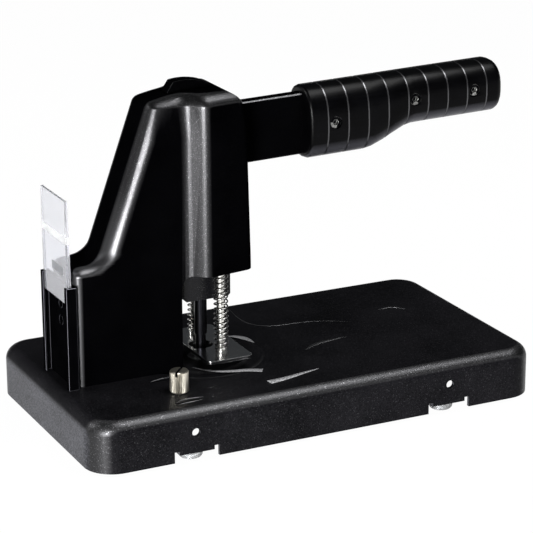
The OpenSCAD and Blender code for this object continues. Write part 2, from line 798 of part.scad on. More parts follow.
module chip_tray() {
  color("#202224") at_punch() difference() {
    union() {
      block([-tray_l / 2, -tray_w / 2, bolster_z - tray_h], [tray_l / 2, tray_w / 2, bolster_z]);
      block([-tray_l / 2 - tray_ear, -tray_ear_w / 2, bolster_z - tray_wall],
            [tray_l / 2 + tray_ear, tray_ear_w / 2, bolster_z]);
    }
    block([tray_wall - tray_l / 2, tray_wall - tray_w / 2, bolster_z - tray_h + tray_wall],
          [tray_l / 2 - tray_wall, tray_w / 2 - tray_wall, bolster_z + 1]);
    for (x = tray_screw_xs) translate([x, 0, bolster_z - 5]) cylinder(h = 10, r = tray_screw_d / 2 + screw_play);
  }
}

module tray_screws() {
  color("silver") at_punch() for (x = tray_screw_xs) translate([x, 0, bolster_z - tray_wall]) {
    translate([0, 0, -tray_head_h]) cylinder(h = tray_head_h, r = tray_screw_d);
    cylinder(h = tray_wall + tray_screw_l, r = tray_screw_d / 2);
  }
}

// Region in front of the column and under the head, grown by t
module throat_area(t) {
  translate([throat_x - t, -60]) square([200, 60 + arch_z]);
  translate([throat_x + arch_r, arch_z]) circle(arch_r + t);
  translate([throat_x + arch_r, 0]) square([200, head_z + t]);
}

// X of the slope at the height z
function slope_x(z) = slope_top[0] - (slope_top[1] - z) / tan(back_slope);

module frame_outline() {
  difference() {
    polygon([
      [frame_rear, 0], [frame_rear, shoulder_h - frame_shelf_drops[0]],
      [frame_rear + frame_shelf, shoulder_h - frame_shelf_drops[1]],
      [slope_x(shoulder_h + frame_bend_rise) + slope_in, shoulder_h + frame_bend_rise],
      [slope_x(frame_top - frame_corner) + slope_in, frame_top - frame_corner],
      [slope_x(frame_top - frame_corner) + slope_in + 5, frame_top],
      [frame_nose - 7, frame_top], [frame_nose - 2.5, frame_top - 5], [frame_nose - 2.1, guide_z + 33],
      [frame_nose, guide_z + 31], [frame_nose, 0]]);
    throat_area(wall + plate_clear);
    translate([rod_front - cross_w / 2 - cross_clear, 0])
      square([cross_w + 2 * cross_clear, cross_z + cross_h + cross_clear]);
  }
}

module frame_side() {
  difference() {
    side_plate(-frame_out, -plate_half_gap) frame_outline();
    bar_y(pivot_x, pivot_h, pivot_d / 2 + press_gap, -frame_out - 1, 0);
    bar_y(stop_x, stop_z, stop_d / 2 + press_gap, -frame_out - 1, 0);
    children();
  }
}

module frame_near() {
  color("#6b6f74") at_punch() difference() {
    frame_side();
    at_frame_screws() flat_hole($d, frame_screw_l);
  }
}

module frame_far() {
  color("#6b6f74") at_punch() difference() {
    mirror([0, 1, 0]) frame_side();
    at_frame_screws() flat_hole($d, frame_screw_l);
  }
}

module foot_block() {
  color("#55585c") at_punch() difference() {
    block([foot_block_rear, -plate_half_gap, 0], [foot_block_front, plate_half_gap, foot_block_h]);
    for (x = bolt_xs) translate([x, 0, -1]) cylinder(h = foot_block_h - 1, r = bolt_d / 2 + screw_play);
    at_frame_screws() flat_hole($d, frame_screw_l);
  }
}

module rear_block() {
  color("#55585c") at_punch() difference() {
    block([-tower_back + wall, -plate_half_gap, rear_block_z],
          [rear_block_front, plate_half_gap, rear_block_z + rear_block_h]);
    at_frame_screws() flat_hole($d, frame_screw_l);
    at_channel_screws() flat_hole(guide_screw_d, channel_screw_l);
  }
}

module at_channel_screws() {
  for (z = channel_screw_zs) translate([-tower_back - channel_back_t, 0, z]) rotate([0, -90, 0]) children();
}

module channel_screws() {
  color("#2a2c2f") at_punch() at_channel_screws() difference() {
    flat_screw(guide_screw_d, channel_screw_l);
    cross_recess(guide_screw_d);
  }
}

module cross_recess(d) {
  translate([-0.6 * d, -0.12 * d, -0.3 * d]) cube([1.2 * d, 0.24 * d, d]);
  translate([-0.12 * d, -0.6 * d, -0.3 * d]) cube([0.24 * d, 1.2 * d, d]);
}

module frame_screws() {
  color("silver") at_punch() at_frame_screws() difference() {
    flat_screw($d, frame_screw_l);
    cross_recess($d);
  }
}

module ram_guide_front() {
  color("#8c8f94") at_punch() difference() {
    block([guide_front_x, -plate_half_gap, guide_z],
          [guide_front_x + guide_t, plate_half_gap, guide_z + guide_front_h]);
    at_frame_screws() flat_hole($d, frame_screw_l);
  }
}

module ram_guide_rear() {
  color("#8c8f94") at_punch() difference() {
    block([guide_rear_x - guide_t, -plate_half_gap, guide_z],
          [guide_rear_x, plate_half_gap, guide_z + guide_rear_h]);
    at_frame_screws() flat_hole($d, frame_screw_l);
  }
}

module stop_pin() {
  color("#8c8f94") at_punch() bar_y(stop_x, stop_z, stop_d / 2, -frame_out, frame_out);
}

module tower_cover() {
  color("#1b1c1f") at_punch() difference() {
    loft([for (z = tower_zs(0)) tower_ring(z, 0)]);
    side_plate(-60, 60) throat_area(0);
    difference() {
      translate([0, 0, -eps]) loft([for (z = tower_zs(wall)) tower_ring(z, wall)]);
      side_plate(-60, 60) intersection() {
        throat_area(wall);
        translate([throat_x - wall, -60]) square([wall - throat_x - ram_l / 2 - cross_clear, 200]);
      }
    }
    block([slot_rear, -slot_half_w, tower_h - slot_depth], [slot_front, slot_half_w, tower_h + 1]);
    block([head_front - front_lean - 2 * wall - 2, -slot_half_w, opening_low],
          [head_front + 5, slot_half_w, opening_high]);
    at_channel_screws() translate([0, 0, -10]) cylinder(h = 12, r = guide_screw_d / 2 + screw_play);
  }
}

module rear_channel() {
  x0 = -tower_back - channel_depth;
  color("#141517") at_punch() difference() {
    block([x0, -channel_half_w, 0], [-tower_back, channel_half_w, channel_h]);
    block([x0 + channel_lip_t, channel_wall - channel_half_w, -1],
          [-tower_back - channel_back_t, channel_half_w - channel_wall, channel_h + 1]);
    block([x0 - 1, channel_lip_w - channel_half_w, -1], [x0 + 2, channel_half_w - channel_lip_w, channel_h + 1]);
    at_channel_screws() flat_hole(guide_screw_d, channel_screw_l);
  }
}

module clear_door() {
  color("#e8ecf0", 0.45) at_punch() translate([door_x, 0, door_low_z]) {
    block([0, -door_half_w, 0], [door_t, door_half_w, door_l]);
    for (s = [0, 1]) mirror([0, s, 0]) side_plate(-door_half_w, door_flange_t - door_half_w)
      polygon([[0, 0], [door_flange_low, 0], [door_flange_high, door_l], [0, door_l]]);
  }
}

module pivot_pin() {
  color("silver") at_punch() difference() {
    bar_y(pivot_x, pivot_h, pivot_d / 2, -pin_half_l, pin_half_l);
    for (s = [0, 1]) mirror([0, s, 0]) difference() {
      bar_y(pivot_x, pivot_h, pivot_d, frame_out + 0.05, frame_out + 0.05 + ring_t);
      bar_y(pivot_x, pivot_h, pivot_d / 2 - ring_groove, 0, 30);
    }
  }
}

module retaining_rings() {
  color("#3c3e42") at_punch() for (s = [0, 1]) mirror([0, s, 0]) difference() {
    bar_y(pivot_x, pivot_h, pivot_d / 2 + ring_w, frame_out + 0.1, frame_out + ring_t);
    bar_y(pivot_x, pivot_h, pivot_d / 2 - ring_groove + press_gap, 0, 30);
    block([pivot_x - 0.3 * pivot_d, 0, pivot_h], [pivot_x + 0.3 * pivot_d, 30, pivot_h + pivot_d]);
  }
}

module spacer_rings() {
  color("#b08d4a") at_punch() for (s = [0, 1]) mirror([0, s, 0]) difference() {
    bar_y(pivot_x, pivot_h, pivot_d / 2 + spacer_w, lever_t / 2 + fit_gap, plate_half_gap);
    bar_y(pivot_x, pivot_h, pivot_d / 2 + press_gap, 0, 30);
  }
}

module at_pivot() {
  at_punch() translate([pivot_x, 0, pivot_h]) children();
}

module pivot_bush() {
  color("#b08d4a") at_pivot() difference() {
    bar_y(0, 0, bush_d / 2, -lever_t / 2, lever_t / 2);
    bar_y(0, 0, pivot_d / 2 + run_gap, -10, 10);
  }
}

// Point of the nose that meets the ram pad when the lever is down by the angle a
function nose_point(a) =
  let (drop = nose_drop - cam_gap + cam_r * a * PI / 180)
  [cam_r * cos(a) + drop * sin(a), cam_r * sin(a) - drop * cos(a)];

module nose_outline() {
  last = lever_sweep + nose_over;
  polygon(concat(
    [[0, 0], (hub_r - 1) * ray(-55)],
    [for (a = [nose_start:3:last]) nose_point(a)],
    [nose_point(last) + [1.2, 1.5], [nose_point(last)[0] + 1.6, 0]]));
}

module crest_outline() {
  intersection() {
    translate(crest_c) circle(crest_r);
    circle(crest_front_r);
    polygon(crest_limits);
  }
}

module heel_outline() {
  polygon([[0, 0], [2 - heel_back, -2.5], [-heel_back, -4.5], [-heel_back, -heel_drop], [2, -heel_drop]]);
}

module lever_outline() {
  circle(hub_r);
  nose_outline();
  crest_outline();
  heel_outline();
  rotate(lever_tilt) {
    translate([0, -lever_below]) square([tang_start, lever_h]);
    translate([0, tang_low]) square([tang_end, tang_h]);
  }
}

module lever_bar() {
  color("#1a1b1e") at_pivot() difference() {
    side_plate(-lever_t / 2, lever_t / 2) lever_outline();
    bar_y(0, 0, bush_d / 2 + press_gap, -10, 10);
    rotate([0, -lever_tilt, 0]) {
      for (s = [0, 1]) mirror([0, s, 0]) {
        bar_edge(crest_front_r + 1, lever_h - lever_below, 1);
        bar_edge(crest_front_r + 1, -lever_below, -1);
      }
      for (k = [0:2]) bar_y(grip_screw_us[k], grip_screw_vs[k], grip_screw_d / 2 + fit_gap, -10, 10);
    }
  }
}

// Chamfer along one long edge of the bar
module bar_edge(u, v, up) {
  translate([u, -lever_t / 2, v]) rotate([up * 45, 0, 0])
    translate([0, -bar_chamfer / sqrt(2), -bar_chamfer / sqrt(2)])
      cube([tang_start, sqrt(2) * bar_chamfer, sqrt(2) * bar_chamfer]);
}

function grip_blend(u) =
  let (t = max(0, min(1, (u - grip_start - grip_waist) / grip_waist_l))) (1 - cos(180 * t)) / 2;
function grip_low(u) = grip_top - grip_front_h + (grip_front_h - grip_slim_h) * grip_blend(u);

function rounding(d, r) = d >= r ? 0 : r - sqrt(r * r - pow(r - d, 2));
function power(x, e) = sign(x) * pow(abs(x), e);

// One half section of the grip at u, drawn in by the amount t
function grip_ring(u, t) =
  let (high = (grip_top - grip_low(u)) / 2, mid = (grip_top + grip_low(u)) / 2,
       e = 2 / grip_round)
  [for (k = [0:grip_side_steps])
    let (a = -90 + 180 * k / grip_side_steps)
    [u, -(grip_depth / 2 - t) * power(cos(a), e), mid + (high - t) * power(sin(a), e)]];

module grip_half() {
  end = grip_start + grip_l;
  front = [for (d = [0, 0.3, 1]) grip_ring(grip_start + d * grip_front_r, rounding(d * grip_front_r, grip_front_r))];
  middle = [for (g = [0:grooves - 1])
    let (u = groove_first + g * groove_pitch)
    each [grip_ring(u - groove_w / 2, 0), grip_ring(u, groove_depth), grip_ring(u + groove_w / 2, 0),
          grip_ring(u + groove_rest, 0)]];
  back = [for (d = [1, 0.7, 0.4, 0.15, 0]) grip_ring(end - d * grip_end_r, rounding(d * grip_end_r, grip_end_r))];
  loft(concat(front, middle, back));
}

module at_grip() {
  at_pivot() rotate([0, -lever_tilt, 0]) children();
}

// Space that the bar and its tang take inside the grip
module tang_pocket() {
  block([grip_start - 1, -lever_t / 2 - fit_gap, -lever_below - fit_gap],
        [tang_start + fit_gap, lever_t / 2 + fit_gap, lever_h - lever_below + fit_gap]);
  block([grip_start, -lever_t / 2 - fit_gap, tang_low - fit_gap],
        [tang_end + fit_gap, lever_t / 2 + fit_gap, tang_low + tang_h + fit_gap]);
}

module grip_near() {
  color("#17181b") at_grip() difference() {
    grip_half();
    tang_pocket();
    for (k = [0:2]) {
      bar_y(grip_screw_us[k], grip_screw_vs[k], grip_screw_d / 2 + fit_gap, -grip_depth, 1);
      bar_y(grip_screw_us[k], grip_screw_vs[k], grip_head_d / 2 + face_gap, -grip_depth,
            grip_head_sink + grip_head_h - grip_depth / 2);
    }
  }
}

module grip_far() {
  color("#17181b") at_grip() difference() {
    mirror([0, 1, 0]) grip_half();
    tang_pocket();
    for (k = [0:2]) {
      bar_y(grip_screw_us[k], grip_screw_vs[k], grip_screw_d / 2 + fit_gap, -1, grip_depth / 2 - 1.5);
      translate([grip_screw_us[k], grip_depth / 2 - 2, grip_screw_vs[k]]) rotate([-90, 0, 0])
        translate([0, 0, -grip_nut_h]) cylinder(h = grip_depth, r = grip_screw_d + fit_gap, $fn = 6);
    }
  }
}

module grip_screws() {
  color("silver") at_grip() for (k = [0:2]) difference() {
    union() {
      bar_y(grip_screw_us[k], grip_screw_vs[k], grip_head_d / 2, grip_head_sink - grip_depth / 2,
            grip_head_sink + grip_head_h - grip_depth / 2);
      bar_y(grip_screw_us[k], grip_screw_vs[k], grip_screw_d / 2,
            grip_head_sink + grip_head_h - grip_depth / 2, grip_depth / 2 - 2.5);
    }
    translate([grip_screw_us[k], -grip_depth, grip_screw_vs[k]]) rotate([-90, 0, 0])
      cylinder(h = grip_depth / 2 + grip_head_sink + grip_head_h / 2, r = 0.43 * grip_screw_d, $fn = 6);
  }
}

module grip_nuts() {
  color("silver") at_grip() for (k = [0:2]) translate([grip_screw_us[k], grip_depth / 2 - 2, grip_screw_vs[k]])
    rotate([-90, 0, 0]) translate([0, 0, -grip_nut_h]) difference() {
      cylinder(h = grip_nut_h, r = grip_screw_d, $fn = 6);
      translate([0, 0, -1]) cylinder(h = grip_nut_h + 2, r = grip_screw_d / 2 + run_gap);
    }
}

module ram() {
  c = ram_chamfer;
  color("#101114") at_punch() difference() {
    union() {
      side_plate(-ram_w / 2, ram_w / 2) polygon([
        [-ram_l / 2, ram_rest_h + c], [c - ram_l / 2, ram_rest_h], [ram_l / 2 - c, ram_rest_h],
        [ram_l / 2, ram_rest_h + c], [ram_l / 2, ram_top], [-ram_l / 2, ram_top]]);
      block([-ram_l / 2 - lug_back, -lug_half_w, lug_z], [0, lug_half_w, ram_top]);
    }
    translate([0, 0, ram_rest_h - 1]) cylinder(h = punch_in + 1, r = shank_d / 2 + press_gap);
    translate([0, 0, ram_top - pad_in]) cylinder(h = pad_in + 1, r = pad_shank_d / 2 + press_gap);
    block([rod_front - cross_w / 2 - press_gap, -ram_w, cross_z - press_gap],
          [rod_front + cross_w / 2 + press_gap, ram_w, cross_z + cross_h + press_gap]);
    for (z = set_screw_zs) translate([0, 0, z]) rotate([0, 90, 0])
      cylinder(h = ram_l, r = set_screw_d / 2 + run_gap);
  }
}

module ram_pad() {
  color("#8c8f94") at_punch() {
    translate([0, 0, ram_top]) cylinder(h = pad_h, r = pad_d / 2);
    translate([0, 0, ram_top - pad_in + pad_shank_gap]) cylinder(h = pad_in - pad_shank_gap, r = pad_shank_d / 2);
  }
}

module crosshead() {
  color("#8c8f94") at_punch() difference() {
    translate([0, 0, cross_z]) {
      translate([rod_front - cross_w / 2, -rod_side, 0]) cube([cross_w, 2 * rod_side, cross_h]);
      for (y = rod_ys) translate([rod_front, y, 0]) cylinder(h = cross_h, r = cross_w / 2);
    }
    for (y = rod_ys) translate([rod_front, y, cross_z - 1])
      cylinder(h = cross_h + 2, r = rod_d / 2 + fit_gap);
  }
}

module set_screws() {
  color("#3c3e42") at_punch() for (k = [0, 1]) difference() {
    translate([set_screw_tips[k], 0, set_screw_zs[k]]) rotate([0, 90, 0])
      cylinder(h = ram_l / 2 - 1 - set_screw_tips[k], r = set_screw_d / 2);
    translate([ram_l / 2 - 3.5, 0, set_screw_zs[k]]) rotate([0, 90, 0])
      cylinder(h = 5, r = 0.29 * set_screw_d, $fn = 6);
  }
}

module punch() {
  color("#26282b") at_punch() {
    translate([0, 0, tip_rest_h]) cylinder(h = tip_l + eps, r = hole_d / 2);
    translate([0, 0, tip_rest_h + tip_l]) cylinder(h = ram_rest_h + punch_in - tip_rest_h - tip_l, r = shank_d / 2);
  }
}

module return_spring() {
  color("silver") at_punch() translate([return_x, 0, seat_top + fit_gap])
    coil((return_d - return_wire) / 2, return_wire, lug_z - seat_top - 2 * fit_gap, return_curls);
}

module spring_seat() {
  color("#55585c") at_punch() difference() {
    union() {
      block([seat_x - seat_l / 2, -plate_half_gap, seat_z], [seat_x + seat_l / 2, plate_half_gap, seat_top]);
      translate([return_x, 0, seat_top - 1]) cylinder(h = spigot_h + 1, r = spigot_r);
    }
    at_frame_screws() flat_hole($d, frame_screw_l);
  }
}

module stripper_plate() {
  c = plate_corner_r;
  color("#c9ccd0") at_punch() translate([0, 0, plate_rest_h]) difference() {
    union() {
      block([-plate_back, c - plate_w / 2, 0], [plate_l - plate_back, plate_w / 2 - c, plate_t]);
      block([c - plate_back, -plate_w / 2, 0], [plate_l - plate_back - c, plate_w / 2, plate_t]);
      for (x = [c - plate_back, plate_l - plate_back - c]) for (y = [c - plate_w / 2, plate_w / 2 - c])
        translate([x, y, 0]) cylinder(h = plate_t, r = c);
    }
    translate([0, 0, -1]) cylinder(h = plate_t + 2, r = plate_hole_d / 2);
    for (y = rod_ys) translate([rod_front, y, -1]) cylinder(h = plate_t + 2, r = rod_d / 2 + press_gap);
  }
}

module guide_rods() {
  color("silver") at_punch() for (y = rod_ys) translate([rod_front, y, plate_rest_h])
    cylinder(h = rod_top - plate_rest_h, r = rod_d / 2);
}

module rod_collars() {
  color("silver") at_punch() for (y = rod_ys) translate([rod_front, y, plate_top]) difference() {
    cylinder(h = collar_h, r = rod_d / 2 + collar_t);
    translate([0, 0, -1]) cylinder(h = collar_h + 2, r = rod_d / 2 + press_gap);
  }
}

module rod_heads() {
  color("#3c3e42") at_punch() for (y = rod_ys) translate([rod_front, y, cross_z + cross_h + fit_gap]) difference() {
    cylinder(h = rod_head_h, r = rod_head_d / 2);
    translate([0, 0, -1]) cylinder(h = rod_head_h + 2, r = rod_d / 2 + press_gap);
  }
}

module stripper_spring(y) {
  color("silver") at_punch() translate([rod_front, y, spring_low])
    coil(spring_mean_r, spring_wire, spring_high - spring_low, spring_curls);
}

module spring_near() {
  stripper_spring(-rod_side);
}

module spring_far() {
  stripper_spring(rod_side);
}

module thumbscrew() {
  r = thumb_head_d / 2;
  rim = r - knurl_depth - run_gap;
  color("#cfc9b8") at_punch() translate([thumb_x, thumb_y, 0]) {
    difference() {
      translate([0, 0, run_gap]) {
        cylinder(h = thumb_chamfer, r1 = r - thumb_chamfer, r2 = rim);
        translate([0, 0, thumb_chamfer]) linear_extrude(thumb_head_h - 2 * thumb_chamfer)
          polygon([for (k = [0:2 * knurls - 1]) (k % 2 == 0 ? r : r - knurl_depth) * ray(180 * k / knurls)]);
        translate([0, 0, thumb_head_h - thumb_chamfer]) cylinder(h = thumb_chamfer, r1 = rim, r2 = r - thumb_chamfer);
      }
      block([-r - 1, -thumb_slot_w / 2, thumb_head_h - thumb_slot_depth], [r + 1, thumb_slot_w / 2, thumb_head_h + 1]);
    }
    translate([0, 0, -sheet_t - thumb_nut_h - 1]) cylinder(h = sheet_t + thumb_nut_h + 2, r = thumb_d / 2);
  }
}

module thumb_nut() {
  color("silver") at_punch() translate([thumb_x, thumb_y, -sheet_t - thumb_nut_h]) difference() {
    cylinder(h = thumb_nut_h, r = 0.92 * thumb_d, $fn = 6);
    translate([0, 0, -1]) cylinder(h = thumb_nut_h + 2, r = thumb_d / 2 + run_gap);
  }
}

base_cover();
rubber_feet();
foot_screws();
foot_nuts();
bolster();
bolster_bolts();
die();
chip_tray();
tray_screws();
frame_near();
frame_far();
foot_block();
rear_block();
ram_guide_front();
ram_guide_rear();
frame_screws();
stop_pin();
tower_cover();
rear_channel();
channel_screws();
clear_door();
pivot_pin();
retaining_rings();
spacer_rings();
pivot_bush();
lever_bar();
grip_near();
grip_far();
grip_screws();
grip_nuts();
ram();
ram_pad();
crosshead();
set_screws();
punch();
return_spring();
spring_seat();
stripper_plate();
guide_rods();
rod_collars();
rod_heads();
spring_near();
spring_far();
thumbscrew();
thumb_nut();
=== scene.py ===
import json
import math

import bpy
from mathutils import Matrix, Vector

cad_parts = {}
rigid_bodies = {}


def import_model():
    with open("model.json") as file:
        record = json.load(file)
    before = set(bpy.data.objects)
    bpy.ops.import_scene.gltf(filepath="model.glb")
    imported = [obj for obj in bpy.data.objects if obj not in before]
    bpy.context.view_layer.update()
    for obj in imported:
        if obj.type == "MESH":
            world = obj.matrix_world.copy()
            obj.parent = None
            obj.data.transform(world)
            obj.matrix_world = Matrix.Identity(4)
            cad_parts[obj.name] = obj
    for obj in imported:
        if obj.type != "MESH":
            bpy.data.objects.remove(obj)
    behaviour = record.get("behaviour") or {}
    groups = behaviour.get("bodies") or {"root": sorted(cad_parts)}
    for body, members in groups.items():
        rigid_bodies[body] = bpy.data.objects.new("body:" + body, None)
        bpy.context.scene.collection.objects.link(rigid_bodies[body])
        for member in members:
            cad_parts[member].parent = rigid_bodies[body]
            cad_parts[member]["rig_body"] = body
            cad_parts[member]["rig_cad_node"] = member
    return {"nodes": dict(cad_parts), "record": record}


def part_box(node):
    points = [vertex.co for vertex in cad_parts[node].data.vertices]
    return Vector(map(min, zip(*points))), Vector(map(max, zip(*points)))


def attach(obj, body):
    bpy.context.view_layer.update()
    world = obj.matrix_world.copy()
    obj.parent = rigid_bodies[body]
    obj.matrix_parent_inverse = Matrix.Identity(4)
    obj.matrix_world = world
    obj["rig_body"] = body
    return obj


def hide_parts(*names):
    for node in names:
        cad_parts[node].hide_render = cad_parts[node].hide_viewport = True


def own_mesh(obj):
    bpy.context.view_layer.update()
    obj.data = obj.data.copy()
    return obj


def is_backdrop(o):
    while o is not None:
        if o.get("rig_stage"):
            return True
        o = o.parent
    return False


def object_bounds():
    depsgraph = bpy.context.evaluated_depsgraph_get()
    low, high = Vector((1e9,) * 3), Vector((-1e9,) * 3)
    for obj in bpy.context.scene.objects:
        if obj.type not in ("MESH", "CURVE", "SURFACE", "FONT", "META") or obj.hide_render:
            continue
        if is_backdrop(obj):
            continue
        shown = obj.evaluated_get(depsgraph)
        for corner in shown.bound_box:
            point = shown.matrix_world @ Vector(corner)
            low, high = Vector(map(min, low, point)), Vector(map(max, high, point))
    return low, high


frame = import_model()
cad_box = [list(corner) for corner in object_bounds()]
nodes = frame["nodes"]
bodies = frame["record"]["behaviour"]["bodies"]
body_of_node = {node: body for body, names in bodies.items() for node in names}
print("nodes:", len(nodes), "box:", [round(v, 4) for corner in cad_box for v in corner])

# %% [markdown]
# ## Camera
# The photograph was taken from in front of the near left corner, about 1.3 m away and 18 degrees
# above the desk. A long lens keeps the edges of the base almost parallel. The camera could be
# moved by eye until the picture fits. It was solved instead, from the corners of the base, and
# the same numbers placed the CAD model, so every piece falls on its place in the picture.
# %% Camera
target, distance = Vector((-0.00489, 0.0, 0.0784)), 1.28455
azimuth, elevation, roll = math.radians(-26.141), math.radians(18.255), math.radians(-0.189)
picture_pixels, focal_pixels, sensor_mm = 533, 2201.475, 36
level = math.cos(elevation)
back = Vector((math.sin(azimuth) * level, -math.cos(azimuth) * level, math.sin(elevation)))
upright = (-back).to_track_quat("-Z", "Y")
bpy.ops.object.camera_add(location=target + distance * back)
camera = bpy.context.object
camera.name = "camera"
camera.rotation_mode = "QUATERNION"
camera.rotation_quaternion = upright @ Matrix.Rotation(roll, 4, "Z").to_quaternion()
camera.data.sensor_width = sensor_mm
camera.data.lens = sensor_mm * focal_pixels / picture_pixels
camera.data.clip_start, camera.data.clip_end = 0.05, 30
bpy.context.scene.camera = camera
bpy.context.scene.view_settings.view_transform = "Standard"
print("camera at", [round(v, 3) for v in camera.location], "lens", round(camera.data.lens, 1))

# %% [markdown]
# ## Shader maths
# A finish is a chain of nodes. It could be wired node by node, but sums and products are easier
# to read, so a socket is wrapped in a small class: each operator on it adds the Math node that
# it stands for.
# %% Shader maths
class Val:
    """A socket of a shader tree that can be used in a sum, a product or a comparison."""

    def __init__(self, tree, socket):
        self.tree, self.socket = tree, socket

    def _math(self, kind, a, b=None):
        n = self.tree.nodes.new("ShaderNodeMath")
        n.operation = kind
        for k, v in enumerate((a, b)):
            if isinstance(v, Val):
                self.tree.links.new(v.socket, n.inputs[k])
            elif v is not None:
                n.inputs[k].default_value = v
        return Val(self.tree, n.outputs[0])

    def __add__(self, o):
        return self._math("ADD", self, o)

    def __radd__(self, o):
        return self._math("ADD", o, self)

    def __sub__(self, o):
        return self._math("SUBTRACT", self, o)

    def __rsub__(self, o):
        return self._math("SUBTRACT", o, self)

    def __mul__(self, o):
        return self._math("MULTIPLY", self, o)

    def __rmul__(self, o):
        return self._math("MULTIPLY", o, self)

    def __abs__(self):
        return self._math("ABSOLUTE", self)

    def __gt__(self, o):
        return self._math("GREATER_THAN", self, o)

    def fract(self):
        return self._math("FRACT", self)


print("sockets can now be added, multiplied and compared")

# %% [markdown]
# ## A finish
# Paint, plastic and steel all start from one Principled shader. The class below makes it, and
# adds every other node by one method, which takes the type of the node, its settings and its
# sockets. The short methods under it name the few patterns that all finishes share. They read
# Object coordinates, so that a pattern stays on its piece when the machine moves.
# %% A finish
class Finish:
    """A material with one Principled shader, and one method that adds any node."""

    made = {}

    def __init__(self, name, **sockets):
        self.material = Finish.made[name] = bpy.data.materials.new(name + "_finish")
        self.material.use_nodes = True
        self.tree = self.material.node_tree
        self.shader = self.tree.nodes["Principled BSDF"]
        where = self.tree.nodes.new("ShaderNodeTexCoord")
        self.place, self.faces = (Val(self.tree, where.outputs[k]) for k in ("Object", "Normal"))
        self.set(**sockets)

    def set(self, **sockets):
        for key, value in sockets.items():
            self._feed(self.shader.inputs[key.replace("_", " ")], value)

    def _feed(self, socket, value):
        """Links a value, or sets it. A colour given as three numbers gets its fourth here."""
        if isinstance(value, Val):
            self.tree.links.new(value.socket, socket)
        elif socket.type == "RGBA" and len(value) == 3:
            socket.default_value = (*value, 1)
        else:
            socket.default_value = value

    def node(self, kind, settings=None, out=0, **sockets):
        n = self.tree.nodes.new("ShaderNode" + kind)
        for key, value in (settings or {}).items():
            if key == "stops":
                for stop, (at, colour) in zip(n.color_ramp.elements, value):
                    stop.position, stop.color = at, (*colour, 1)
            else:
                setattr(n, key, value)
        for key, value in sockets.items():
            name = key.replace("_", " ")
            self._feed(next(s for s in n.inputs if s.name == name and s.enabled), value)
        return Val(self.tree, n.outputs[out])

    def noise(self, per_metre, detail, rough, stretch=None):
        where = self.place
        if stretch:
            where = self.node("Mapping", Vector=self.place, Scale=stretch)
        return self.node("TexNoise", Vector=where, Scale=per_metre, Detail=detail, Roughness=rough)

    def ramp(self, value, zero, one):
        """0 where the value is zero, 1 where it is one, even between, and level beyond both."""
        return self.node("MapRange", Value=value, From_Min=zero, From_Max=one)

    def part_of(self, vector, axis):
        return self.node("SeparateXYZ", out="xyz".index(axis), Vector=vector)

    def turning(self, flat=0.998, full=0.88):
        """1 on the roundings of the near and far sides, 0 on these sides and on top and ends."""
        side = abs(self.part_of(self.faces, "y"))
        return self.ramp(side, zero=0.08, one=0.35) * self.ramp(side, zero=flat, one=full)

    def tint(self, mask, a, b):
        return self.node("Mix", {"data_type": "RGBA"}, out=2, Factor=mask, A=a, B=b)

    def blend(self, value, low, dark, high, light):
        """The dark colour up to low, the light one from high on."""
        return self.node("ValToRGB", {"stops": [(low, dark), (high, light)]}, Fac=value)

    def bump(self, height, distance, strength=1.0, under=None):
        sockets = {"Height": height, "Distance": distance, "Strength": strength}
        if under is not None:
            sockets["Normal"] = under
        return self.node("Bump", **sockets)


print("patterns of a finish:", [name for name in vars(Finish) if not name.startswith("_")])

# %% [markdown]
# ## Floor
# The punch stands on a plain white floor that fills the view. White paint alone would turn grey
# away from the lamps, and a glowing floor would swallow the shadow. So the camera, and glossy
# and clear surfaces, see it close to full white, and all other light meets dull white paint,
# which throws a soft light on the base from below.
# %% Floor
floor_gap = 0.0004
bpy.ops.mesh.primitive_plane_add(size=14, location=(0, 2.0, -floor_gap))
floor = bpy.context.object
floor.name = "floor"
white = Finish(
    "floor_white", Base_Color=(0.95, 0.95, 0.95), Roughness=0.9, Specular_IOR_Level=0.0
)
tree = white.tree
path = tree.nodes.new("ShaderNodeLightPath")
rays = ("Is Camera Ray", "Is Glossy Ray", "Is Transmission Ray")
camera_ray, glossy_ray, clear_ray = (Val(tree, path.outputs[ray]) for ray in rays)
glow = tree.nodes.new("ShaderNodeEmission")
glow.inputs["Strength"].default_value = 1.0
mixer = tree.nodes.new("ShaderNodeMixShader")
seen = 0.98 * (camera_ray + glossy_ray + clear_ray)
tree.links.new(seen.socket, mixer.inputs[0])
tree.links.new(white.shader.outputs[0], mixer.inputs[1])
tree.links.new(glow.outputs[0], mixer.inputs[2])
tree.links.new(mixer.outputs[0], tree.nodes["Material Output"].inputs["Surface"])
floor.data.materials.append(white.material)
floor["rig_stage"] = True
print("floor", floor.dimensions.x, "m wide,", 1000 * floor_gap, "mm under the feet")

# %% [markdown]
# ## Lamps
# On black paint only the reflections show, so the lamps are placed by what they draw. A small
# soft panel, low on the left, draws the bright lines down the rounded edges of the cover: it
# stands where the flat sides don't mirror it, and they stay black. A weaker one behind on the
# left reaches the far side, and one above on the right draws the top edges. The world adds a
# trace of cool light, so that no shadow is empty.
# %% Lamps
def soft_panel(name, place, aim, wide, high, watts):
    bpy.ops.object.light_add(type="AREA", location=place)
    lamp = bpy.context.object
    lamp.name = name
    lamp.rotation_euler = (Vector(aim) - Vector(place)).to_track_quat("-Z", "Y").to_euler()
    lamp.data.shape = "RECTANGLE"
    lamp.data.size, lamp.data.size_y, lamp.data.energy = wide, high, watts
    print(name, "gives", round(watts / (wide * high * math.pi), 1), "W/m2 sr")


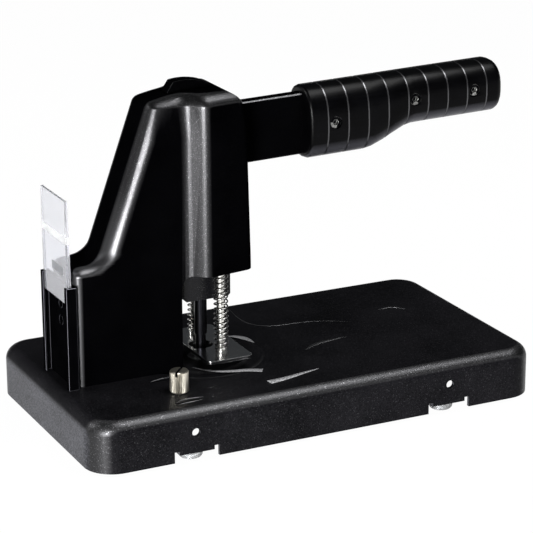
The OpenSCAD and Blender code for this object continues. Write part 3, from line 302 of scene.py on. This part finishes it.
soft_panel(
    "panel_left", place=(-0.84, -0.93, 0.155), aim=(-0.05, 0, 0.12), wide=0.3, high=0.3, watts=39
)
soft_panel("panel_far", place=(-1.05, 0.62, 0.8), aim=(0, 0, 0.1), wide=0.5, high=0.5, watts=9)
soft_panel("panel_top", place=(0.36, -0.25, 1.2), aim=(0, 0, 0.05), wide=0.8, high=0.5, watts=15)
world = bpy.data.worlds.new("studio")
bpy.context.scene.world = world
world.use_nodes = True
sky = world.node_tree.nodes["Background"].inputs
sky["Color"].default_value, sky["Strength"].default_value = (0.9, 0.95, 1.0, 1), 0.04
print("world light", round(sky["Strength"].default_value, 3))

# %% [markdown]
# ## Black coats
# Base, cover and lever are steel under black paint. The base has a powder coat: a fine sandy
# grain with a faint sparkle. The cover is smoother, with the soft ripple that painters call
# orange peel. Paint draws thin over a rounded edge and lies there smooth and glossy, while it
# stays soft on the flats: so the flats are deep black, and a lamp runs down every rounding as a
# bright line. One glossy black would mirror the floor on the flats, so the coat is mixed from
# two, by how far the surface has turned: a soft one, and a bright one that counts as metal.
# %% Black coats
def powder_coat(
    name, flat, grain_tone, rough, level, gloss, grain, depth, spark=0.05, turn=(), also=None
):
    """Soft paint between the tones flat and grain_tone, and paint as bright as gloss on the
    roundings. grain is the number of grains per metre, depth their height, and spark the share
    of light flecks. turn says where a rounding begins, and also, if given, changes where and
    how the bright paint lies."""
    ripples, patches, ripple_depth = 450, 26, 0.00003
    f = Finish(name)
    sand = f.noise(grain, detail=3, rough=0.6)
    ripple = f.noise(ripples, detail=2, rough=0.45)
    patch = f.noise(patches, detail=3, rough=0.55)
    fleck = f.ramp(f.noise(1.2 * grain, detail=3, rough=0.7), zero=0.6, one=0.7)
    soft = f.blend(0.55 * sand + 0.45 * patch, 0.38, flat, 0.64, grain_tone)
    soft = f.tint(fleck * spark, soft, (0.16, 0.16, 0.17))
    bright = f.tint(fleck, (gloss, gloss, 1.04 * gloss), (5.5 * gloss, 5.5 * gloss, 5.7 * gloss))
    turned = f.turning(*turn)
    if also:
        turned, bright = also(f, turned, bright, sand, patch)
    f.set(Base_Color=f.tint(turned, soft, bright), Metallic=turned, Specular_IOR_Level=level)
    f.set(Roughness=rough + 0.08 * sand + 0.06 * (patch - 0.5))
    f.set(Normal=f.bump(ripple, ripple_depth, under=f.bump(sand, depth)))
    return f.material


lever_steel = powder_coat(
    "lever_steel", flat=(0.0003, 0.0003, 0.0004), grain_tone=(0.0009, 0.0009, 0.0011),
    rough=0.36, level=0.0, gloss=0.05, grain=1700, depth=0.00002, spark=0.01,
)
powder_coat(
    "ram_steel", flat=(0.002, 0.002, 0.0024), grain_tone=(0.004, 0.004, 0.005),
    rough=0.24, level=0.2, gloss=0.1, grain=1400, depth=0.00001,
)
print("plain coats:", list(Finish.made)[1:])

# %% [markdown]
# The end walls of the base look at the lamp on the left, and carry a painted sheen up to the
# rolled edge: a pale metal coat of their own, mottled with the same sand into a coarse grain, on
# the faces that look along x and lie below the edge, so that they mirror the white floor.
# %% Base paint
edge_from, edge_to = 0.03, 0.021
sheen_dark, sheen_pale = (0.01, 0.01, 0.014), (0.135, 0.137, 0.158)


# Painted sheen: faces that look along x, below the edge, get a pale mottled metal coat.
def painted_end_sheen(f, turned, bright, sand, patch):
    looks_along = f.ramp(abs(f.part_of(f.faces, "x")), zero=0.92, one=0.995)
    below_edge = f.ramp(f.part_of(f.place, "z"), zero=edge_from, one=edge_to)
    sheen_area = looks_along * below_edge
    mottled_sheen = f.blend(0.75 * sand + 0.25 * patch, 0.4, sheen_dark, 0.62, sheen_pale)
    return f.ramp(turned + sheen_area, zero=0.0, one=1.0), f.tint(sheen_area, bright, mottled_sheen)


powder_coat(
    "base_paint", flat=(0.0019, 0.0019, 0.0023), grain_tone=(0.007, 0.0068, 0.008),
    rough=0.38, level=0.03, gloss=0.042, grain=1100, depth=0.0001, spark=0.14,
    turn=(0.92, 0.78), also=painted_end_sheen,
)
print("the end walls turn pale from z =", edge_from, "down to", edge_to)

# %% [markdown]
# On the cover the bright line runs down the rear edge and over the shoulders, while the
# roundings at the front stay black. So the bright coat keeps to faces that look backwards or
# upwards. It is weaker where a rounding meets the rear face, and brighter at the very rear of
# the cover, below its shoulder, where the photograph shows the widest lines.
# %% Cover paint
rear_from, rear_to, cover_gloss = -0.098, -0.114, 0.031


def rear_and_top(f, turned, bright, *_):
    front, up = f.part_of(f.faces, "x"), f.part_of(f.faces, "z")
    not_front = f.ramp(front, zero=0.1, one=0.02) + f.ramp(up, zero=0.15, one=0.45)
    rear_face = f.ramp(front, zero=-0.66, one=-0.82)
    rear_edge = f.ramp(f.part_of(f.place, "x"), zero=rear_from, one=rear_to)
    polished = (2.4 * cover_gloss, 2.4 * cover_gloss, 2.5 * cover_gloss)
    where = turned * f.ramp(not_front, zero=0.0, one=1.0) * (1.0 - 0.6 * rear_face)
    return where, f.tint(rear_edge, bright, polished)


powder_coat(
    "tower_paint", flat=(0.0002, 0.0002, 0.0003), grain_tone=(0.0008, 0.0008, 0.001),
    rough=0.31, level=0.0, gloss=cover_gloss, grain=1500, depth=0.00008, spark=0.006,
    also=rear_and_top,
)
print("the cover grows brighter from x =", rear_from, "back to", rear_to)

# %% [markdown]
# ## Moulded plastics
# The grip halves and the rear channel are black plastic, smoother than the paint, with hair
# lines from the hands that have held them. Narrow ring grooves are cut into the grip, and each
# shows as a thin pale line. A lamp can't reach the bottom of a groove on every side, so the
# material paints the line as a highlight: it measures the way along the lever from the pivot, and
# marks the middle of each groove. The underside of the grip gets a painted reflection: faces that
# look down turn to a grey metal, which mirrors the white floor.
# %% Moulded plastics
pivot, tilt = Vector((-0.06517, 0.0, 0.1574)), math.radians(1.6)
groove_first, groove_pitch, grooves = 0.0932, 0.0132, 9
ring_half, ring_soft = 0.00026, 0.00042
lever_x, lever_z = math.cos(tilt), math.sin(tilt)


def painted_ring_highlights(f):
    """1 on the painted highlight lines of the grip rings, 0 beside them."""
    along, rise = f.part_of(f.place, "x") - pivot.x, f.part_of(f.place, "z") - pivot.z
    run = along * lever_x + rise * lever_z
    turns = run * (1 / groove_pitch) + (0.5 - groove_first / groove_pitch)
    off = abs(turns.fract() - 0.5) * groove_pitch
    started = run > groove_first - 0.001
    past = run > groove_first + (grooves - 0.9) * groove_pitch
    return f.ramp(off, zero=ring_soft, one=ring_half) * started * (1.0 - past)


def moulded(name, dark, light, rough, level, gloss, painted_grip_light=False):
    f = Finish(name)
    cloud = f.noise(60, detail=3, rough=0.5)
    hair = f.noise(900, detail=2, rough=0.6, stretch=(0.07, 1.0, 1.0))
    shade = f.blend(0.6 * cloud + 0.4 * hair, 0.35, dark, 0.7, light)
    below = f.part_of(f.faces, "z")
    # Painted reflection: on the grip, faces that look down get a grey metal coat.
    turned = f.ramp(below, zero=-0.3, one=-0.95) if painted_grip_light else 0.8 * f.turning()
    tone = f.tint(turned, shade, (gloss, gloss, gloss * 1.15))
    if painted_grip_light:
        # Painted highlight: a thin pale metal line in the middle of each groove.
        ring_highlight = painted_ring_highlights(f)
        tone = f.tint(ring_highlight, tone, (0.12, 0.12, 0.125))
        turned = f.ramp(turned + ring_highlight, zero=0.0, one=1.0)
    f.set(Base_Color=tone, Metallic=turned, Specular_IOR_Level=level)
    f.set(Roughness=rough - 0.04 + 0.08 * hair + 0.06 * (cloud - 0.5))
    f.set(Normal=f.bump(hair, 0.00001, strength=0.8))
    return f.material


channel_plastic = moulded(
    "channel_plastic", dark=(0.0003, 0.0003, 0.0004), light=(0.0009, 0.0009, 0.0011),
    rough=0.3, level=0.0, gloss=0.2,
)
moulded(
    "grip_plastic", dark=(0.0003, 0.0003, 0.0004), light=(0.001, 0.001, 0.0013),
    rough=0.34, level=0.06, gloss=0.08, painted_grip_light=True,
)
moulded(
    "tray_plastic", dark=(0.02, 0.02, 0.021), light=(0.032, 0.032, 0.034),
    rough=0.5, level=0.4, gloss=0.05,
)
print(grooves, "ring lines, one every", 1000 * groove_pitch, "mm")

# %% [markdown]
# ## Clear plastics
# The sliding door at the rear is clear, and the feet are milky and soft. The door has a frosted
# band across it and a grey patch lower down, and its upper end is duller. These could be
# separate strips laid on it, but they have no thickness of their own, so the finish changes
# between limits of height and width.
# %% Clear plastics
def clear(name, colour, rough, through, ior, bands=()):
    f = Finish(name, Transmission_Weight=through, IOR=ior)
    haze = f.noise(140, detail=3, rough=0.6)
    scuffs = f.noise(1400, detail=2, rough=0.5, stretch=(1.0, 1.0, 0.08))
    tone = f.tint(0.12 * haze, colour, (0.7, 0.72, 0.76))
    frost = rough + 0.12 * haze * scuffs
    up, across = f.part_of(f.place, "z"), f.part_of(f.place, "y")
    for (low, high), (near, far), shade, dull in bands:
        inside = (up > low) * (1.0 - (up > high)) * (across > near) * (1.0 - (across > far))
        tone, frost = f.tint(inside, tone, shade), frost + dull * inside
    f.set(Base_Color=tone, Roughness=frost, Normal=f.bump(haze, 0.00003, strength=0.5))


full_width = (-1.0, 1.0)
frosted_band = ((0.1155, 0.1195), full_width, (0.95, 0.955, 0.96), 0.5)
grey_patch = ((0.0960, 0.1010), (-0.013, 0.004), (0.4, 0.41, 0.44), 0.3)
upper_end = ((0.1195, 0.2000), full_width, (0.71, 0.715, 0.75), 0.12)
clear(
    "clear_plastic", colour=(0.67, 0.675, 0.72), rough=0.03, through=0.86, ior=1.46,
    bands=(frosted_band, grey_patch, upper_end),
)
clear("clear_rubber", colour=(0.9, 0.91, 0.92), rough=0.08, through=0.85, ior=1.42)
print("door band between z =", frosted_band[0])

# %% [markdown]
# ## Bare and plated steel
# Bright parts get their look from fine lines left by grinding or turning. A scratched picture
# could be wrapped on them, but every part has its own size and direction. A stretched noise
# gives the lines, along the axis of the part, and the roughness and a very shallow bump follow
# it. Age adds a broad change of tone, and zinc and rolled plate get a few dark spots.
# %% Metals
def steel(name, dark, light, rough, along=(1, 1, 1), lines=1300, depth=0.000006, spots=0.0):
    """Steel between two tones, with lines per metre that are drawn out where along is small."""
    f = Finish(name, Metallic=1.0)
    grind = f.noise(lines, detail=3, rough=0.6, stretch=along)
    age = f.noise(45, detail=4, rough=0.6)
    colour = f.blend(0.5 * grind + 0.5 * age, 0.3, dark, 0.72, light)
    if spots:
        stain = f.noise(170, detail=3, rough=0.7) > 0.64
        colour = f.tint(spots * stain, colour, (0.05, 0.045, 0.04))
    f.set(Base_Color=colour, Roughness=rough - 0.06 + 0.12 * grind + 0.1 * (age - 0.5))
    f.set(Normal=f.bump(grind, depth, strength=0.9))
    return f.material


ground_x, ground_y, ground_z = (0.05, 1, 1), (1, 0.06, 1), (1, 1, 0.05)
plated_z, knurled_z = (1, 1, 0.08), (1, 1, 0.06)
steel("zinc", dark=(0.5, 0.51, 0.53), light=(0.68, 0.69, 0.7), rough=0.34, spots=0.2)
steel(
    "plate_steel", dark=(0.26, 0.265, 0.275), light=(0.42, 0.425, 0.435),
    rough=0.4, along=ground_x, spots=0.3,
)
steel(
    "tool_steel", dark=(0.36, 0.365, 0.38), light=(0.54, 0.545, 0.56), rough=0.24, along=ground_z
)
steel(
    "punch_steel", dark=(0.007, 0.007, 0.009), light=(0.02, 0.02, 0.023),
    rough=0.3, along=ground_z,
)
steel("bronze", dark=(0.42, 0.29, 0.12), light=(0.6, 0.44, 0.22), rough=0.36)
steel(
    "nickel", dark=(0.62, 0.61, 0.58), light=(0.8, 0.79, 0.76),
    rough=0.2, along=plated_z, lines=1600,
)
steel(
    "polished_steel", dark=(0.68, 0.685, 0.69), light=(0.84, 0.845, 0.85),
    rough=0.17, along=ground_y, lines=1500, depth=0.000004,
)
steel(
    "thumb_nickel", dark=(0.4, 0.37, 0.31), light=(0.7, 0.67, 0.59),
    rough=0.32, along=knurled_z, lines=1500, depth=0.0002,
)
steel(
    "grip_screw_steel", dark=(0.03, 0.03, 0.03), light=(0.62, 0.62, 0.6),
    rough=0.3, lines=900, depth=0.0002,
)
black_steel = steel(
    "black_steel", dark=(0.002, 0.002, 0.0025), light=(0.005, 0.005, 0.006), rough=0.38
)
spring_steel = steel(
    "spring_steel", dark=(0.2, 0.2, 0.195), light=(0.46, 0.455, 0.44), rough=0.22
)
bead_gloss = steel(
    "bead_gloss", dark=(0.05, 0.05, 0.052), light=(0.15, 0.15, 0.155), rough=0.42, depth=0.00004
)
print("steels:", [name for name in Finish.made if "steel" in name])

# %% [markdown]
# The widest raised strips and the rims of the dish on the base get a painted highlight, broken
# into small pale grey spots. A noise cut off sharply gives such spots, and the dark paint between
# them stays.
# %% Painted glints
painted_glint = Finish("glint_paint", Roughness=0.5)
# Painted highlight: pale grey spots on dark paint stand in for the light that the strips catch.
glint_spots = painted_glint.ramp(painted_glint.noise(1300, detail=3, rough=0.7), zero=0.35, one=0.6)
painted_glint.set(Base_Color=painted_glint.tint(glint_spots, (0.04, 0.04, 0.042), (0.3, 0.3, 0.31)))
print("finishes made:", len(Finish.made))

# %% [markdown]
# ## Finishes on the CAD parts
# Each CAD part first takes the finish that the record names for it. Parts inside the machine
# keep their CAD shape, because they only show from below or through an opening. The screws of
# the rear channel are blackened, as dark as the channel that they hold.
# %% Finishes on the CAD parts
def paint(piece, material):
    piece.data.materials.clear()
    piece.data.materials.append(material)
    for face in piece.data.polygons:
        face.material_index = 0


slots = {part["node"]: part["material_slot"] for part in frame["record"]["subparts"]}
for name, part in nodes.items():
    paint(part, Finish.made[slots[name]])
paint(nodes["channel_screws"], channel_plastic)
print("finishes in use:", len(set(slots.values())))

# %% [markdown]
# ## From facets to a smooth surface
# A CAD part arrives as loose triangles, so every edge shades hard. The shape could be modelled
# again, but a copy of it is sure to fit: with its doubles merged and its flat areas joined it
# can be shaded smooth by angle, gets a fine bevel where the real part catches the light, and
# takes the place of the CAD part on screen.
# %% Smooth copies
def pick(piece):
    bpy.ops.object.select_all(action="DESELECT")
    piece.select_set(True)
    bpy.context.view_layer.objects.active = piece


def apply_all(piece):
    pick(piece)
    for modifier in list(piece.modifiers):
        bpy.ops.object.modifier_apply(modifier=modifier.name)


def copy_of(node, name):
    """A copy of a CAD part that stands free of it, with doubles merged and flats joined."""
    piece = nodes[node].copy()
    piece.data = nodes[node].data.copy()
    bpy.context.scene.collection.objects.link(piece)
    piece.parent = None
    piece.matrix_world = Matrix.Identity(4)
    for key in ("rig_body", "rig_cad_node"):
        if key in piece:
            del piece[key]
    piece.name = name
    pick(piece)
    bpy.ops.object.mode_set(mode="EDIT")
    bpy.ops.mesh.select_all(action="SELECT")
    bpy.ops.mesh.remove_doubles(threshold=0.000002)
    bpy.ops.mesh.dissolve_limited(angle_limit=math.radians(0.6))
    bpy.ops.object.mode_set(mode="OBJECT")
    return piece


def smooth(piece, degrees):
    pick(piece)
    bpy.ops.object.shade_smooth_by_angle(angle=math.radians(degrees))
    even = piece.modifiers.new("even", "WEIGHTED_NORMAL")
    even.keep_sharp = True
    even.weight = 60
    apply_all(piece)


def dress(node, name, edge, degrees=32):
    """Shows a smooth copy in place of the CAD part, with its sharp edges bevelled by edge."""
    piece = copy_of(node, name)
    if edge:
        bevel = piece.modifiers.new("edge", "BEVEL")
        bevel.width, bevel.segments = edge, 2
        bevel.limit_method, bevel.angle_limit = "ANGLE", math.radians(38)
        bevel.use_clamp_overlap = True
        apply_all(piece)
    smooth(piece, degrees)
    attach(piece, body_of_node[node])
    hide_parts(node)
    print(name, len(piece.data.polygons), "faces")
    return piece


# %% [markdown]
# The base, the cover and the grip are already rounded in the CAD model, with many facets, so
# they only need smooth shading. The cover and the grip curve more tightly, and take a wider
# angle. All other large parts have sharp cut edges, and get a fine bevel. The cross bar over
# the springs wears the black paint of the lever.
# %% Large parts
dress("base_cover", "base_shell", edge=0.0)
dress("tower_cover", "cover_shell", edge=0.0, degrees=36)
dress("grip_near", "grip_near_shell", edge=0.0, degrees=40)
dress("grip_far", "grip_far_shell", edge=0.0, degrees=40)
dress("lever_bar", "lever_blade", edge=0.0005)
dress("ram", "ram_body", edge=0.0004)
cross_bar = dress("crosshead", "cross_bar", edge=0.0003)
dress("rear_channel", "channel_body", edge=0.0003)
dress("clear_door", "door_panel", edge=0.0002)
dress("stripper_plate", "plate_polished", edge=0.00025)
paint(cross_bar, lever_steel)

# %% [markdown]
# Small turned and pressed parts get an even finer bevel. The punch and the feet are shaded
# without one. The knob of the thumbscrew is knurled: its ridges have to stay sharp, so it is
# smoothed only over a very small angle.
# %% Small parts
dress("guide_rods", "rod_pair", edge=0.0002)
dress("rod_collars", "collar_pair", edge=0.0002)
knob = dress("thumbscrew", "thumb_knob", edge=0.0001, degrees=8)
heads = dress("grip_screws", "grip_screw_heads", edge=0.0002)
dress("punch", "punch_tool", edge=0.0)
dress("pivot_pin", "pivot_shaft", edge=0.0003)
dress("rubber_feet", "soft_feet", edge=0.0)
dress("die", "die_ring", edge=0.0002)
dress("bolster", "bolster_plate", edge=0.0004)
dress("chip_tray", "chip_box", edge=0.0003)

# %% [markdown]
# ## Thumbscrew slot
# The thumbscrew stands turned, so that its slot faces the viewer's left, as it was left by
# the last hand. The sides and the floor of the slot get painted shade: they are black. A pattern
# in the finish would blur at the edge of the slot, so its faces are picked by their place, while
# the slot still lies along x, and get a second material. Then the mesh is turned about its own
# axis.
# %% Thumbscrew slot
slot_deep, slot_half, below_top = 0.0025, 0.00075, 0.0001
knob_low, knob_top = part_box("thumbscrew")
knob_x, knob_y = (knob_low.x + knob_top.x) / 2, (knob_low.y + knob_top.y) / 2
knob.data.materials.append(black_steel)
shaded_slot_faces = 0
for face in knob.data.polygons:
    middle = face.center
    in_height = knob_top.z - slot_deep < middle.z < knob_top.z - below_top
    if in_height and abs(middle.y - knob_y) < slot_half and abs(face.normal.x) < 0.5:
        # Painted shade: the faces inside the slot take the black material.
        face.material_index = 1
        shaded_slot_faces += 1
to_middle = Matrix.Translation((-knob_x, -knob_y, 0))
left_by_hand = Matrix.Rotation(math.radians(48), 4, "Z")
knob.data.transform(to_middle.inverted() @ left_by_hand @ to_middle)
print("faces in the slot:", shaded_slot_faces)

# %% [markdown]
# ## Grip screw sockets
# The grip screws have a socket in the head, and it gets painted shade: a black disc in the
# middle of each head. The middle of each head is found from the mesh: the points are sorted
# along x, a wide gap starts the next screw, and the middle lies halfway between the outermost
# points. That way no place is typed in.
# %% Grip screw sockets
screw_gap, socket_shade_r = 0.005, 0.001
heads.data.materials.append(black_steel)
groups = []
for point in sorted((v.co.copy() for v in heads.data.vertices), key=lambda co: co.x):
    if not groups or point.x - groups[-1][-1].x > screw_gap:
        groups.append([])
    groups[-1].append(point)
middles = []
for group in groups:
    heights = [point.z for point in group]
    middles.append(((group[0].x + group[-1].x) / 2, (min(heights) + max(heights)) / 2))
for face in heads.data.polygons:
    at = face.center
    if min(math.hypot(at.x - x, at.z - z) for x, z in middles) < socket_shade_r:
        # Painted shade: faces near the middle of a head turn black.
        face.material_index = 1
print("grip screws along x:", len(middles))

# %% [markdown]
# ## Beads on the base
# The pressed top of the base has raised lines: a long one that curls behind the plate, short
# strips in front of it, the rim of the dish under the plate, and lips along the two slots.
# They could be pushed out of the top itself, but that would need a fine mesh all over it. Each
# is a curve along the top instead, with a round bevel, wider in the middle, pressed flat.
# Two of the wide ones start blunt and run out thin.
# %% Beads
mm_per_metre, thin_end, thin_tail = 1000, 0.08, 0.05
base_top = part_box("base_cover")[1].z


def bead(name, path, wide, high, blunt=False, finish=bead_gloss):
    """A raised line along points on the base top. Points, width and height are in mm."""
    bpy.ops.object.select_all(action="DESELECT")
    bpy.ops.curve.primitive_nurbs_path_add(location=(0, 0, 0))
    piece = bpy.context.object
    piece.name = name
    line = piece.data.splines[0]
    line.points.add(max(0, len(path) - len(line.points)))
    line.order_u, line.resolution_u = 3, 8
    last = len(line.points) - 1
    for k, point in enumerate(line.points):
        at, share = k * (len(path) - 1) / last, k / last
        low = min(int(at), len(path) - 2)
        (x0, y0), (x1, y1) = path[low : low + 2]
        x, y = (1 - at + low) * x0 + (at - low) * x1, (1 - at + low) * y0 + (at - low) * y1
        point.co = (x / mm_per_metre, y / mm_per_metre, 0, 1)
        swelling = math.sin(math.pi * share) ** 0.5 + thin_end
        point.radius = (1.0 - share) ** 0.6 + thin_tail if blunt else swelling
    piece.data.bevel_depth, piece.data.bevel_resolution = wide / (2 * mm_per_metre), 4
    piece.data.use_fill_caps = True
    bpy.ops.object.convert(target="MESH")
    piece = bpy.context.object
    for v in piece.data.vertices:
        v.co.z = base_top + v.co.z * 2 * high / wide
    smooth(piece, degrees=60)
    paint(piece, finish)
    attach(piece, "base")
    print(name, "rises", high, "mm,", len(piece.data.polygons), "faces")


# %% [markdown]
# The lines were traced from the photograph through the solved camera, which gives their place
# on the base top in millimetres. The widest three carry a painted highlight.
# %% Beads on the base
bead(
    "curled_bead",
    [(1.8, 67.9), (-0.9, 50.7), (-0.1, 38.2), (4.0, 30.1), (13.2, 25.5), (26.4, 24.8),
     (38.9, 22.6), (49.7, 17.1), (58, 11)],
    wide=1.1, high=0.14,
)
bead("short_arc", [(82, 23.2), (90, 24.2), (95, 23.1), (99.4, 15.7)], wide=1.0, high=0.25)
bead(
    "front_strip",
    [(-31.5, -57.2), (-24.7, -56.6), (-16.1, -54.8), (-6.3, -52.2), (3.5, -50.3)],
    wide=4.6, high=0.9, blunt=True, finish=painted_glint.material,
)
bead(
    "middle_strip",
    [(10.4, -20.0), (16.2, -15.6), (22.8, -12.9), (31.5, -11.2), (43, -10.4)],
    wide=2.8, high=0.45,
)
bead(
    "dish_rim_near",
    [(-26.5, -38.5), (-33.1, -34.1), (-41.4, -32.3), (-49.9, -28.7), (-56.6, -22.5),
     (-60.6, -16.0)],
    wide=4.4, high=0.3, blunt=True, finish=painted_glint.material,
)
bead(
    "dish_rim_far",
    [(-21.5, 22.5), (-14.7, 18.8), (-11.8, 12.5), (-10.8, 5.0)],
    wide=4.0, high=0.3, finish=painted_glint.material,
)
bead(
    "slot_lip_far",
    [(-90.6, -62.3), (-87.8, -60.3), (-81.4, -59.3), (-73.5, -60.8)],
    wide=0.9, high=0.4,
)
bead("slot_lip_near", [(-90.7, -64.9), (-83.8, -64.8), (-75.6, -63.9)], wide=0.9, high=0.4)
bead(
    "guide_lip",
    [(-91.5, -27.0), (-87.7, -25.4), (-82.4, -24.6), (-77.4, -24.5)],
    wide=1.2, high=0.4,
)

# %% [markdown]
# ## Coil springs
# A compression spring is one wire on a screw line, with its end curls closed. A curve with a
# round bevel could draw it, but the Screw modifier gives even rings whose points are easy to
# find again: one round section is swept, then the end curls are pulled together and the wire
# ends are closed. Every ring of points is one step of the sweep, so its number says how far
# along the wire it lies.
# %% End curls
def close_ends(piece, run, curls, steps, tight, foot):
    """Sets each ring of points on its height over the foot, with little rise in the end curls."""
    closed = 0.8  # curls at each end that lie close together
    per_ring = len(piece.data.vertices) // (curls * steps + 1)
    loose = (run - 2 * closed * tight) / (curls - 2 * closed)
    for v in piece.data.vertices:
        turn = (v.index // per_ring) / steps
        if turn < closed:
            rise = tight * turn
        elif turn > curls - closed:
            rise = run - tight * (curls - turn)
        else:
            rise = closed * tight + loose * (turn - closed)
        v.co.z = v.co.z - run * turn / curls + rise + foot


def cap_wire(piece):
    pick(piece)
    bpy.ops.object.mode_set(mode="EDIT")
    bpy.ops.mesh.select_all(action="DESELECT")
    bpy.ops.mesh.select_non_manifold()
    bpy.ops.mesh.edge_face_add()
    bpy.ops.mesh.select_all(action="SELECT")
    bpy.ops.mesh.normals_make_consistent(inside=False)
    bpy.ops.object.mode_set(mode="OBJECT")


# %% [markdown]
# The coil itself: a circle of ten points stands upright at the mean radius, and is turned and
# raised until it reaches the height of the CAD spring, so that the ends sit on their seats.
# %% Coil
def coil(name, centre, low, high, mean_r, wire, curls):
    bpy.ops.object.select_all(action="DESELECT")
    bpy.ops.mesh.primitive_circle_add(
        vertices=10, radius=wire / 2, fill_type="NOTHING",
        location=(mean_r, 0, 0), rotation=(math.pi / 2, 0, 0),
    )
    piece = bpy.context.object
    piece.name = name
    bpy.ops.object.transform_apply(location=True, rotation=True, scale=True)
    run, steps = high - low - wire, 20
    sweep = piece.modifiers.new("sweep", "SCREW")
    sweep.axis, sweep.angle, sweep.screw_offset = "Z", 2 * math.pi, run / curls
    sweep.iterations, sweep.steps, sweep.render_steps = curls, steps, steps
    sweep.use_merge_vertices = False
    apply_all(piece)
    close_ends(piece, run, curls, steps, tight=1.06 * wire, foot=low + wire / 2)
    for v in piece.data.vertices:
        v.co.x += centre[0]
        v.co.y += centre[1]
    cap_wire(piece)
    smooth(piece, degrees=40)
    paint(piece, spring_steel)
    z = [v.co.z for v in piece.data.vertices]
    faces = len(piece.data.polygons)
    print(name, "from", round(min(z), 5), "to", round(max(z), 5), "with", faces, "faces")
    return piece


def spring_for(node, name, mean_r, wire, curls):
    lo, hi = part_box(node)
    centre = ((lo.x + hi.x) / 2, (lo.y + hi.y) / 2)
    piece = coil(name, centre, lo.z, hi.z, mean_r, wire, curls)
    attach(piece, body_of_node[node])
    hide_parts(node)
    return piece, lo, hi.z - lo.z


for node, name in (("spring_near", "stripper_coil_near"), ("spring_far", "stripper_coil_far")):
    piece, lo, span = spring_for(node, name, mean_r=0.00385, wire=0.0009, curls=20)
    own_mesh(piece)
piece, lo, span = spring_for("return_spring", "return_coil", mean_r=0.0052, wire=0.0016, curls=9)
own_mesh(piece)

# %% [markdown] ## Size after dressing: how far the scene reaches past the CAD parts.
dressed_box = [list(corner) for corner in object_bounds()]
grown = [1000 * (b - a) for c, d in zip(cad_box, dressed_box) for a, b in zip(c, d)]
print("grows by", [round(g, 2) for g in grown], "mm")
